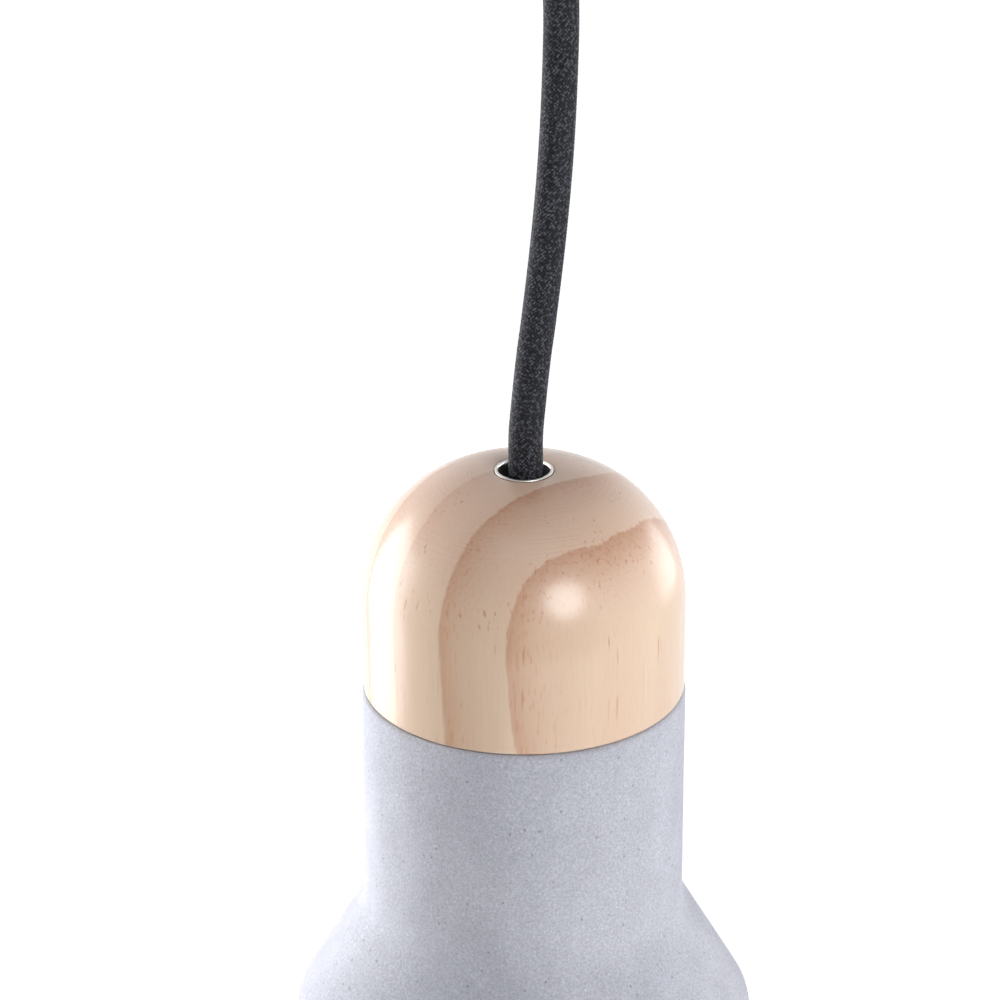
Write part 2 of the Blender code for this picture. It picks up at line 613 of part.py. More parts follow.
def make_lampholder():
    """An E27 lampholder on the lower end of the nipple, and the three cores inside it."""
    pivot = "pendant_swing"
    wall = 1.4 * MM
    collar_radius = 9.0 * MM
    shoulder = 11.0 * MM
    cap = [(PIPE_HOLE, HOLDER_TOP), (collar_radius, HOLDER_TOP)]
    cap += [(r, 33 * MM - z) for r, z in arc(HOLDER_RADIUS - shoulder, 0, shoulder, 80, 0, 3, 9 * MM)]
    cap += [(HOLDER_RADIUS, HOLDER_SPLIT), (HOLDER_RADIUS - wall, HOLDER_SPLIT)]
    inner_shoulder = shoulder - wall
    cap += [(r, 33 * MM - z) for r, z in arc(HOLDER_RADIUS - shoulder, 0, inner_shoulder, 0, 80, 3, 7.6 * MM)]
    cap += [(PIPE_HOLE, 25.2 * MM)]
    holder_cap = turned("lampholder_cap", below_seam(cap), "nickel", pivot)
    screw_z = SEAM_Z - 38 * MM
    bore(holder_cap, "holder_earth_hole", 1.8 * MM, (0, 17 * MM, screw_z), (0, 23 * MM, screw_z), 16)
    screw_piece("lampholder_earth_screw", 2.6 * MM, 1.6 * MM, 1.5 * MM, 5.5 * MM,
                (0, HOLDER_RADIUS + GAP, screw_z), (0, -1, 0), "brass", pivot)  # fmt: skip

    insert = [(0, 41), (19.2, 41), (19.2, 48), (16, 49), (0, 49)]
    block = turned("lampholder_insert", mm_below_seam(insert), "ceramic", pivot,
                   hollow=False)  # fmt: skip
    for side, sign in (("live", -1), ("neutral", 1)):
        x = sign * TERMINAL_X
        bore(block, "insert_hole_" + side, 1.8 * MM, (x, 0, SEAM_Z - 46 * MM), (x, 0, SEAM_Z - 40 * MM), 16)
        screw_piece("holder_screw_" + side, 2.6 * MM, 1.6 * MM, 1.5 * MM, 4 * MM,
                    (x, 0, SEAM_Z - 41 * MM + GAP), (0, 0, -1), "brass", pivot)  # fmt: skip

    skirt = [
        (19.5, 45.3), (21.0, 45.3), (21.0, 71.0), (20.2, 72.0), (14.9, 72.0), (14.9, 70.6),
        (18.0, 70.6), (18.0, 50.0), (19.5, 50.0),
    ]  # fmt: skip
    turned("lampholder_skirt", mm_below_seam(skirt), "black_nylon", pivot)
    shell = [(3.6, 49.3), (14.5, 49.3), (14.5, 70.2), (13.9, 70.2), (13.9, 49.9), (3.6, 49.9)]
    turned("socket_thread_shell", mm_below_seam(shell), "brass", pivot)
    tongue = [
        (2.6, 49.3), (-1.6, 49.3), (-2.8, 51.2), (-2.8, 51.7), (-2.3, 51.7), (-1.2, 49.9), (2.6, 49.9),
    ]  # fmt: skip
    outline = [(x * MM, SEAM_Z - depth * MM) for x, depth in tongue]
    flat_plate("centre_contact", outline, 3 * MM, "brass", pivot)

    offset = CORE_OFFSET / MM
    seam = SEAM_Z / MM
    for name, material, sign in (
        ("live_core_lower", "brown_core", -1),
        ("neutral_core_lower", "blue_core", 1),
    ):
        depths = [(offset, 21.4), (offset, 24.0), (offset + 0.3, 27.0), (3.6, 30.5), (6.6, 33.5)]
        depths += [(8.4, 36.0), (8.6, 38.2)]
        points = [(sign * x, 0.0, seam - depth) for x, depth in depths]
        core_wire(name, points, material, pivot)
    earth = [(offset, 21.4), (offset, 24.0), (2.3, 27.0), (5.0, 30.5), (9.5, 33.0), (13.0, 36.0), (14.4, 38.0)]
    core_wire("earth_core_lower", [(0.0, y, seam - depth) for y, depth in earth], "earth_core", pivot)


def make_bulb():
    """An E27 lamp: its contact, insulator and shell, then the collar and the opal globe."""
    contact = [(0, 52.0), (3.0, 52.1), (4.6, 52.8), (4.6, 53.4), (0, 53.4)]
    turned("bulb_contact", mm_below_seam(contact), "zinc_steel", "bulb_drop", SMALL, hollow=False)
    pivot = "bulb_unscrew"
    insulator = [(0, 53.7), (5.2, 53.7), (9.5, 56.0), (9.5, 57.0), (0, 57.0)]
    turned("bulb_insulator", mm_below_seam(insulator), "black_nylon", pivot, SMALL,
           hollow=False)  # fmt: skip
    shell = [(9.9, 56.3), (11.0, 56.3), (13.1, 58.5), (13.1, 78.0), (12.5, 78.0), (12.5, 59.0), (10.6, 57.0),
             (9.9, 57.0)]  # fmt: skip
    turned("bulb_screw_shell", mm_below_seam(shell), "zinc_steel", pivot)
    collar = [(10.0, 78.3), (13.6, 78.3), (14.3, 80.0), (19.5, 92.0), (18.2, 92.0), (12.9, 80.0), (10.0, 79.6)]
    turned("bulb_collar", mm_below_seam(collar), "white_plastic", pivot)

    widest = BULB_BOTTOM - BULB_RADIUS
    top = BULB_COLLAR_BOTTOM + GAP
    outer, inner = [], []
    for share in (0.0, 0.3, 0.6):
        radius = BULB_COLLAR_RADIUS + (BULB_RADIUS - BULB_COLLAR_RADIUS) * math.sin(share * math.pi / 2)
        depth = top + (widest - top) * share
        outer.append((radius, depth))
        inner.append((radius - GLOBE_WALL, depth))
    outer += [(r, widest - z) for r, z in arc(0, 0, BULB_RADIUS, 0, -90, 6)]
    inner += [(r, widest - z) for r, z in arc(0, 0, BULB_RADIUS - GLOBE_WALL, 0, -90, 6)]
    outer[-1] = (0, BULB_BOTTOM)
    inner[-1] = (0, BULB_BOTTOM - GLOBE_WALL)
    turned("bulb_globe", below_seam(inner[::-1] + outer), "opal", pivot, hollow=False)

    board = [(0, 89.3), (15.5, 89.3), (15.5, 90.5), (0, 90.5)]
    turned("bulb_led_board", mm_below_seam(board), "white_plastic", pivot, SMALL,
           hollow=False)  # fmt: skip
    low = (-8 * MM, -0.8 * MM, SEAM_Z - 88 * MM)
    box("bulb_driver_board", low, (8 * MM, 0.8 * MM, SEAM_Z - 62 * MM), "board", pivot)


def main():
    add_pivot("cord_twist", (0, 0, PIVOT_Z))
    add_pivot("pendant_swing", (0, 0, PIVOT_Z))
    add_pivot("cap_lift", (0, 0, SEAM_Z))
    add_pivot("bulb_drop", (0, 0, SEAM_Z - BULB_TOP))
    add_pivot("bulb_unscrew", (0, 0, SEAM_Z - BULB_TOP))
    make_strap()
    make_canopy()
    make_cord_grip()
    make_terminals()
    make_upper_cord()
    make_hanging_cord()
    make_wooden_cap()
    make_concrete_shade()
    make_nipple_stack()
    make_lampholder()
    make_bulb()


main()
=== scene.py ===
"""Looks for the pendant ceiling light: fine pieces, materials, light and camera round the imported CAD.

Shapes are given in millimetres in the part's frame, with the ceiling at Z = 0 and the light's axis on Z.
"""

import math

import bmesh
import bpy
import numpy as np
from mathutils import Matrix, Vector, noise


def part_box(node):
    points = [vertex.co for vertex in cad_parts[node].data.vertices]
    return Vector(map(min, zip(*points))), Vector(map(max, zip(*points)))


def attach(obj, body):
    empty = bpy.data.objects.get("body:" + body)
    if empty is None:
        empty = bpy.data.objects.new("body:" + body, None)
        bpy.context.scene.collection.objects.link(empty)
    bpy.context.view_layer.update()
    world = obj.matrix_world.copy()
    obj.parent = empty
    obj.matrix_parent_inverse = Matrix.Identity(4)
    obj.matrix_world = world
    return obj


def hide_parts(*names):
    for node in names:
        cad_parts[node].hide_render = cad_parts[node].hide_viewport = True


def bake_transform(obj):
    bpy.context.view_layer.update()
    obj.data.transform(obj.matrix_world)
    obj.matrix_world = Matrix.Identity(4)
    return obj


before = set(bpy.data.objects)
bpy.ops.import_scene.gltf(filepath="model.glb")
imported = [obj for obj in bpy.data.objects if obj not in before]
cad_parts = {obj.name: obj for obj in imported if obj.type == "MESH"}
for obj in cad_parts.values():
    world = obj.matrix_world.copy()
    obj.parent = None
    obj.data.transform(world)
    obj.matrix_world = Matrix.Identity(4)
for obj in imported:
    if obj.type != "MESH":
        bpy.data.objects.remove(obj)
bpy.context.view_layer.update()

MM = 0.001
TURN = 2 * math.pi
SHARP_ANGLE = math.radians(35)  # faces that meet more sharply than this keep a hard edge

# ---------------------------------------------------------------- sizes, repeated from the part

CAP_TOP = -188.0
SEAM = -235.0  # joint between the wood and the concrete
PIVOT = -44.0  # mouth of the cord grip, the point that the light swings from
GAP = 0.3  # between pieces that touch in the real light
M4_RADIUS = 1.9
M4_HOLE = 2.2
PIPE_RADIUS = 4.95
PIPE_HOLE = 5.3

CANOPY_DEPTH = 26.0
CANOPY_RADIUS = 50.0
CANOPY_WALL = 1.2
CANOPY_CORNER = 4.0
CANOPY_SCREW_Z = -9.0
GRIP_RADIUS = 8.0
GRIP_BORE = 3.75
GRIP_MOUTH = 6.5
GRIP_SCREW_Z = -31.0
POLE_PITCH = 9.0
POLE_Z = -6.5

CORD_RADIUS = 3.4
CORE_RADIUS = 0.9
CORD_NECK = (-34.3, -39.5)
CORD_TAIL_TOP = -18.0
# The hanging cord's route, as (sideways, height above the wooden cap)
CORD_ROUTE = [
    (0.0, -11.0), (0.2, -5.0), (0.35, 0.0), (0.35, 7.5), (1.0, 15.5), (1.9, 24.5),
    (2.9, 32.5), (4.7, 49.0), (6.0, 65.0), (6.75, 81.0), (6.95, 96.5), (5.9, 108.0),
    (3.5, 119.0), (1.1, 130.0), (0.1, 139.0), (0.0, 144.5),
]  # fmt: skip

CAP_RADIUS = 32.5
CAP_CORNER = (26.0, 27.5)  # the dome's rounded corner: across, and down
CAP_CAVITY_RADIUS = 21.8
SPIGOT_RADIUS = 25.2
SPIGOT_DEPTH = 5.0
FERRULE_RADIUS = 5.65
FERRULE_BORE = 5.1
FERRULE_HOLE = 5.95
FERRULE_LENGTH = 8.0

NECK_RADIUS = 32.75
NECK_BORE = 25.0
RECESS_RADIUS = 25.6
RECESS_DEPTH = 8.0
WEB_BOTTOM = 16.0  # below the seam
SHADE_HEIGHT = 148.0
KINK_DEPTH = 48.0  # seam to the corner between the neck and the shoulder
KINK_FILLET = 12.0
SHOULDER_ANGLE = math.radians(30)  # from the light's axis
SHOULDER_ROUND = 5.0
BODY_RADIUS = 47.3
RIM_RADIUS = 46.2
RIM_ROUND = 2.0
SHADE_WALL = 6.8

# Lampholder and bulb, in depths below the seam
HOLDER_RADIUS = 21.0
HOLDER_TOP = 17.6
HOLDER_SPLIT = 45.0
HOLDER_EARTH = 38.0
E27_PITCH = 3.63
BULB_TOP = 52.0
BULB_COLLAR_BOTTOM = 92.0
BULB_COLLAR_RADIUS = 19.5
BULB_BOTTOM = 147.0
BULB_RADIUS = 27.5
GLOBE_WALL = 1.2


# ---------------------------------------------------------------- camera, light and stage

CAMERA_LENS = 153.0
CAMERA_PITCH = math.radians(24.075)
CAMERA_ROLL = math.radians(-0.1)
CAMERA_PLACE = (-4.765, -771.6, SEAM + 385.2)
TARGET = Vector((0, 0, SEAM + 5)) * MM  # what the softboxes are aimed at

FLOOR_Z = -2.2  # metres, as are the next two
BACKDROP_RADIUS = 12
ROOM_RADIUS = 13
# What shiny surfaces see of the room, by height from straight down (0) to straight up (1)
ROOM_SEEN = [(0.0, 1.0), (0.6, 1.0), (0.8, 0.45), (1.0, 0.3)]
ROOM_LIGHT = (0.03, 0.03, 0.033)
# Name, azimuth, elevation, distance in metres, width and height in metres, power in watts, share that shiny
# surfaces reflect, shape. Azimuth 0 is the camera's side, and 90 its right.
SOFTBOXES = [
    ("left_softbox", -114, -3, 1.0, (0.80, 0.95), 24.0, 0.40, "RECTANGLE"),
    ("front_dish", 31, 25, 1.4, (0.70, 0.70), 12.0, 0.85, "DISK"),
    ("right_strip", 125, 0, 1.2, (0.65, 0.50), 7.0, 0.36, "RECTANGLE"),
    ("right_wall", 78, -5, 1.2, (1.3, 1.5), 5.2, 1.0, "RECTANGLE"),
    ("low_bounce", 20, -48, 1.2, (1.4, 1.0), 7.0, 1.0, "RECTANGLE"),
    ("top_fill", 0, 80, 1.4, (1.0, 1.0), 2.6, 0.5, "RECTANGLE"),
]
TWIN_OFFSET = 0.02  # metres between a softbox's two lights, which must not lie in the same place


def add_object(name, data):
    obj = bpy.data.objects.new(name, data)
    bpy.context.scene.collection.objects.link(obj)
    return obj


def from_bmesh(name, bm):
    mesh = bpy.data.meshes.new(name)
    bm.to_mesh(mesh)
    bm.free()
    return add_object(name, mesh)


def make_camera():
    camera = add_object("camera", bpy.data.cameras.new("camera"))
    camera.data.lens = CAMERA_LENS
    camera.data.sensor_width = 36
    camera.data.clip_start = 0.02
    camera.data.clip_end = 60
    camera.location = Vector(CAMERA_PLACE) * MM
    aim = Matrix.Rotation(math.pi / 2 - CAMERA_PITCH, 3, "X") @ Matrix.Rotation(CAMERA_ROLL, 3, "Z")
    camera.rotation_euler = aim.to_euler()
    bpy.context.scene.camera = camera


def softbox(name, azimuth, elevation, distance, size, power, reflected, shape):
    """An area light in two shares: shiny surfaces reflect the first, and the second only lights."""
    azimuth, elevation = math.radians(azimuth), math.radians(elevation)
    level = math.cos(elevation)
    way = Vector((math.sin(azimuth) * level, -math.cos(azimuth) * level, math.sin(elevation)))
    for suffix, share, far in (("", reflected, distance), ("_matt", 1 - reflected, distance + TWIN_OFFSET)):
        if not share:
            continue
        light = bpy.data.lights.new(name + suffix, "AREA")
        light.shape = shape
        light.size, light.size_y = size
        light.energy = power * share
        obj = add_object(name + suffix, light)
        obj.location = TARGET + way * far
        obj.rotation_euler = way.to_track_quat("Z", "Y").to_euler()
        obj.visible_glossy = not suffix


def fill_ramp(elements, stops):
    """Sets a colour ramp's stops, each a position with a colour or a grey."""
    while len(elements) < len(stops):
        elements.new(1.0)
    for element, (spot, colour) in zip(elements, stops):
        element.position = spot
        element.color = (*colour, 1) if isinstance(colour, tuple) else (colour, colour, colour, 1)


def glowing(name, bm, brightness=((0.0, 1.0), (1.0, 1.0)), camera=True, reflections=True):
    """Part of the white surroundings: it can be seen, but it neither lights nor shades the object."""
    obj = from_bmesh(name, bm)
    material = bpy.data.materials.new(name)
    material.use_nodes = True
    tree = material.node_tree
    shader = tree.nodes["Principled BSDF"]
    shader.inputs["Base Color"].default_value = (0.9, 0.9, 0.9, 1)
    shader.inputs["Roughness"].default_value = 0.9
    shader.inputs["Emission Strength"].default_value = 1.0
    spot = tree.nodes.new("ShaderNodeTexCoord")
    split = tree.nodes.new("ShaderNodeSeparateXYZ")
    ramp = tree.nodes.new("ShaderNodeValToRGB")
    tree.links.new(spot.outputs["Generated"], split.inputs[0])
    tree.links.new(split.outputs["Z"], ramp.inputs[0])
    tree.links.new(ramp.outputs[0], shader.inputs["Emission Color"])
    fill_ramp(ramp.color_ramp.elements, brightness)
    obj.data.materials.append(material)
    obj.visible_camera, obj.visible_glossy = camera, reflections
    obj.visible_diffuse = obj.visible_transmission = obj.visible_shadow = False


def sphere(radius):
    bm = bmesh.new()
    bmesh.ops.create_icosphere(bm, subdivisions=4, radius=radius)
    bmesh.ops.reverse_faces(bm, faces=bm.faces)
    return bm


def make_stage():
    """A pale floor and backdrop, a faint room light and the softboxes."""
    bm = bmesh.new()
    level = Matrix.Translation((0, 0, FLOOR_Z))
    bmesh.ops.create_circle(bm, cap_ends=True, segments=96, radius=BACKDROP_RADIUS, matrix=level)
    glowing("floor", bm)
    glowing("backdrop", sphere(BACKDROP_RADIUS), reflections=False)
    glowing("room", sphere(ROOM_RADIUS), ROOM_SEEN, camera=False)

    world = bpy.data.worlds.new("room")
    bpy.context.scene.world = world
    world.use_nodes = True
    background = world.node_tree.nodes["Background"]
    background.inputs["Color"].default_value = (*ROOM_LIGHT, 1)
    background.inputs["Strength"].default_value = 1.0
    for row in SOFTBOXES:
        softbox(*row)
    bpy.context.scene.view_settings.view_transform = "Standard"


# ---------------------------------------------------------------- meshes


def even_normals(obj):
    """Smooth shading that keeps flat faces flat next to a rounded edge."""
    obj.data.shade_smooth()
    obj.data.set_sharp_from_angle(angle=SHARP_ANGLE)
    weighted = obj.modifiers.new("even_normals", "WEIGHTED_NORMAL")
    weighted.keep_sharp = True
    return obj


def arc(centre_r, centre_z, radius_r, start, end, steps, radius_z=None):
    """Points on an arc or an ellipse, with its angles in degrees from the +R direction."""
    radius_z = radius_z or radius_r
    angles = [math.radians(start + (end - start) * step / steps) for step in range(steps + 1)]
    return [(centre_r + radius_r * math.cos(a), centre_z + radius_z * math.sin(a)) for a in angles]


def softened(profile, radius, closed=True):
    """Rounds a profile's sharp corners."""
    points = [Vector(point) for point in profile]
    steps = 3
    soft = []
    for index, here in enumerate(points):
        into, away = here - points[index - 1], points[(index + 1) % len(points)] - here
        end = not closed and index in (0, len(points) - 1)
        if end or here.x < 1e-6 or into.length < 1e-6 or away.length < 1e-6 or into.angle(away) < 0.4:
            soft.append(here)
            continue
        cut = min(radius * math.tan(min(into.angle(away), 2.6) / 2), 0.42 * into.length, 0.42 * away.length)
        start, stop = here - into.normalized() * cut, here + away.normalized() * cut
        for step in range(steps + 1):
            t = step / steps
            soft.append((1 - t) ** 2 * start + 2 * t * (1 - t) * here + t * t * stop)
    return [tuple(point) for point in soft]


def turned(name, profile, steps=96, closed=True, shape=None):
    """A turned mesh. Its profile of (radius, Z) runs down the outer side; shape may change a radius."""
    bm = bmesh.new()
    rings = []
    for radius, z in profile:
        if radius < 1e-6:
            rings.append([bm.verts.new((0, 0, z * MM))])
            continue
        ring = []
        for step in range(steps):
            angle = TURN * step / steps
            r = (shape(angle, radius, z) if shape else radius) * MM
            ring.append(bm.verts.new((r * math.cos(angle), r * math.sin(angle), z * MM)))
        rings.append(ring)
    for upper, lower in zip(rings, rings[1:] + (rings[:1] if closed else [])):
        for i in range(steps):
            j = (i + 1) % steps
            corners = [upper[i % len(upper)], lower[i % len(lower)]]
            corners = list(dict.fromkeys([*corners, lower[j % len(lower)], upper[j % len(upper)]]))
            if len(corners) > 2:
                bm.faces.new(corners)
    bmesh.ops.recalc_face_normals(bm, faces=bm.faces)
    return even_normals(from_bmesh(name, bm))


def threaded(name, radius, wall, depth, pitch, top, bottom, steps=96, solid_inside=False):
    """A tube with a right-handed round thread, between two heights. Its inner side follows the thread."""
    rows = max(8, int((top - bottom) / pitch * 12))
    profile = [(radius, top + (bottom - top) * row / rows) for row in range(rows + 1)]
    inner = [(radius - wall, z) for _, z in reversed(profile)]
    if solid_inside:
        inner = [inner[0], inner[-1]]

    def shape(angle, r, z):
        if solid_inside and r < radius:
            return r
        fade = min(1.0, (top - z) / pitch, (z - bottom) / pitch)
        return r - depth * fade * (0.5 - 0.5 * math.cos(TURN * (z / pitch) - angle))

    return turned(name, profile + inner, steps, shape=shape)


def drill(radius, start, end):
    """A cylinder to cut a hole with."""
    start, end = Vector(start) * MM, Vector(end) * MM
    turn = (end - start).to_track_quat("Z", "Y").to_matrix().to_4x4()
    bm = bmesh.new()
    bmesh.ops.create_cone(bm, cap_ends=True, segments=48, radius1=radius * MM, radius2=radius * MM,
                          depth=(end - start).length)  # fmt: skip
    bmesh.ops.transform(bm, matrix=Matrix.Translation((start + end) / 2) @ turn, verts=bm.verts)
    return from_bmesh("hole", bm)


def slot_cutter(low, high):
    """A block to cut a screw's slot with."""
    low, high = Vector(low) * MM, Vector(high) * MM
    spot = Matrix.Translation((low + high) / 2) @ Matrix.Diagonal((*(high - low), 1))
    bm = bmesh.new()
    bmesh.ops.create_cube(bm, size=1)
    bmesh.ops.transform(bm, matrix=spot, verts=bm.verts)
    return from_bmesh("slot", bm)


def settle(obj):
    """Applies the modifiers."""
    bpy.context.view_layer.update()
    mesh = bpy.data.meshes.new_from_object(obj.evaluated_get(bpy.context.evaluated_depsgraph_get()))
    obj.modifiers.clear()
    obj.data = mesh


def cut_out(obj, *cutters):
    """Takes the cutters out of a mesh, and removes them."""
    obj.modifiers.clear()
    for cutter in cutters:
        cut = obj.modifiers.new("cut", "BOOLEAN")
        cut.operation = "DIFFERENCE"
        cut.solver = "EXACT"
        cut.object = cutter
    settle(obj)
    for cutter in cutters:
        bpy.data.objects.remove(cutter, do_unlink=True)
    return even_normals(obj)


def screw(name, head_radius, head_height, shank_radius, shank_length, seat, direction, cross=True):
    """A pan-head screw with its drive slot: the head's underside is at the seat and its shank leads on."""
    profile = [(0.0, head_height)]
    for a in np.linspace(0.12, math.pi / 2, 9):
        profile.append((head_radius * math.sin(a), head_height * (0.45 + 0.55 * math.cos(a))))
    profile += [(head_radius, 0.0), (shank_radius, 0.0)]
    pitch = 0.7
    z = -0.5
    while z - pitch > 0.3 - shank_length:
        profile += [(shank_radius, z), (shank_radius * 0.84, z - pitch / 2)]
        z -= pitch
    profile += [(shank_radius * 0.9, -shank_length + 0.2), (shank_radius * 0.7, -shank_length)]
    obj = turned(name, [*profile, (0.0, -shank_length)], 40, closed=False)
    slot = head_radius * 0.13
    reach = head_radius * (0.62 if cross else 1.2)
    low, high = head_height * 0.45, head_height + 1
    cutters = [slot_cutter((-reach, -slot, low), (reach, slot, high))]
    if cross:
        cutters.append(slot_cutter((-slot, -reach, low), (slot, reach, high)))
    cut_out(obj, *cutters)
    axis = -Vector(direction).normalized()
    turn = axis.to_track_quat("Z", "Y").to_matrix().to_4x4()
    obj.data.transform(Matrix.Translation(Vector(seat) * MM) @ turn)
    return obj


def bevelled(name, node, width):
    """A copy of a CAD node's mesh with its edges rounded."""
    obj = add_object(name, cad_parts[node].data.copy())
    bm = bmesh.new()
    bm.from_mesh(obj.data)
    bmesh.ops.remove_doubles(bm, verts=bm.verts, dist=1e-6)
    bmesh.ops.dissolve_limit(bm, angle_limit=0.01, verts=bm.verts, edges=bm.edges)
    bm.to_mesh(obj.data)
    bm.free()
    if obj.data.has_custom_normals:
        bpy.context.view_layer.objects.active = obj
        bpy.ops.mesh.customdata_custom_splitnormals_clear()
    bevel = obj.modifiers.new("edge", "BEVEL")
    bevel.width = width * MM
    bevel.segments = 3
    bevel.limit_method = "ANGLE"
    bevel.angle_limit = math.radians(40)
    bevel.use_clamp_overlap = True
    settle(obj)
    return even_normals(obj)


def even_route(points, spacing):
    """Points about an equal distance apart on a Catmull-Rom curve, and their distances along it."""
    points = np.array(points, float)
    ends = np.vstack([2 * points[0] - points[1], points, 2 * points[-1] - points[-2]])
    fine = []
    for a, b, c, d in zip(ends, ends[1:], ends[2:], ends[3:]):
        for t in np.linspace(0, 1, 40, endpoint=False):
            fine.append(0.5 * (2 * b + (c - a) * t + (2 * a - 5 * b + 4 * c - d) * t**2
                               + (3 * b - a - 3 * c + d) * t**3))  # fmt: skip
    fine = np.array([*fine, points[-1]])
    travelled = np.concatenate([[0], np.cumsum(np.linalg.norm(np.diff(fine, axis=0), axis=1))])
    marks = np.linspace(0, travelled[-1], max(2, round(travelled[-1] / spacing)) + 1)
    return np.stack([np.interp(marks, travelled, fine[:, k]) for k in range(3)], 1), marks


def tube(name, route, radius, sides, spacing, lift=None, values=None):
    """A closed tube along a route, and its centre line in metres.

    lift(along, angle) adds to its radius, and values(along, angle) gives the attributes of its points.
    """
    path, along = even_route(route, spacing)
    forward = np.gradient(path, axis=0)
    forward /= np.linalg.norm(forward, axis=1)[:, None]
    side = np.empty_like(path)
    side[0] = np.cross(forward[0], (1.0, 0.0, 0.0) if abs(forward[0][0]) < 0.9 else (0.0, 1.0, 0.0))
    for row in range(1, len(path)):
        side[row] = side[row - 1] - forward[row] * (side[row - 1] @ forward[row])
    side /= np.linalg.norm(side, axis=1)[:, None]
    other = np.cross(forward, side)
    angle = np.linspace(0, TURN, sides, endpoint=False)
    spread, turn = np.meshgrid(along, angle, indexing="ij")
    reach = radius + (lift(spread, turn) if lift else 0.0)
    reach = np.broadcast_to(reach, spread.shape)[..., None]
    around = side[:, None] * np.cos(turn)[..., None] + other[:, None] * np.sin(turn)[..., None]
    rings = (path[:, None] + around * reach).reshape(-1, 3)
    verts = np.vstack([rings, path[:1], path[-1:]]) * MM
    first, last = len(rings), len(rings) + 1
    pairs = [(i, (i + 1) % sides) for i in range(sides)]
    faces = []
    for row in range(len(path) - 1):
        here, there = row * sides, (row + 1) * sides
        faces += [(here + i, here + j, there + j, there + i) for i, j in pairs]
    final = (len(path) - 1) * sides
    faces += [(first, j, i) for i, j in pairs]
    faces += [(last, final + i, final + j) for i, j in pairs]
    mesh = bpy.data.meshes.new(name)
    mesh.from_pydata(verts.tolist(), [], faces)
    for key, data in (values(spread, turn) if values else {}).items():
        attribute = mesh.attributes.new(key, "FLOAT", "POINT")
        attribute.data.foreach_set("value", np.append(data.ravel(), [0.0, 0.0]).astype(np.float32))
    mesh.shade_smooth()
    return add_object(name, mesh), path * MM


# ---------------------------------------------------------------- the cord's braid

STRANDS = 28  # each way round
BRAID_TURN = STRANDS / (TURN * CORD_RADIUS)  # strands passed per millimetre along, at 45 degrees
WEAVE_LIFT = 0.18  # how much higher a strand lies where it goes over another
STRAND_DOME = 0.24  # how much a strand's middle stands above its edges


def weave(along, angle):
    """Over-two, under-two braid: the strand of each direction at a point, and its height there."""
    a = STRANDS * angle / TURN + along * BRAID_TURN
    b = STRANDS * angle / TURN - along * BRAID_TURN
    i, j = np.floor(a), np.floor(b)
    over_a = np.clip(1.6 * np.sin((b - i) * math.pi / 2), -1, 1)
    over_b = -np.clip(1.6 * np.sin((j + 1 - a) * math.pi / 2), -1, 1)
    dome_a, dome_b = 1 - (2 * (a - i) - 1) ** 2, 1 - (2 * (b - j) - 1) ** 2
    high_a = over_a * WEAVE_LIFT / 2 + dome_a * STRAND_DOME
    high_b = over_b * WEAVE_LIFT / 2 + dome_b * STRAND_DOME
    return i, j, high_a, high_b


def braid_lift(along, angle):
    _, _, high_a, high_b = weave(along, angle)
    return np.maximum(high_a, high_b) - STRAND_DOME - 0.02


def braid_values(along, angle):
    """How far a strand stands out of the braid, and a shade that differs from strand to strand."""
    i, j, high_a, high_b = weave(along, angle)
    strand = np.where(high_a > high_b, np.mod(i, STRANDS) * 12.9898, np.mod(j, STRANDS) * 78.233 + 5.1)
    shade = np.mod(np.sin(strand) * 43758.5453, 1.0)
    high = (np.maximum(high_a, high_b) + WEAVE_LIFT / 2) / (STRAND_DOME + WEAVE_LIFT)
    return {"lift": np.clip(high, 0, 1), "shade": shade}


def braided(name, route, sides=112, spacing=0.19):
    return tube(name, route, CORD_RADIUS, sides, spacing, braid_lift, braid_values)


# ---------------------------------------------------------------- materials


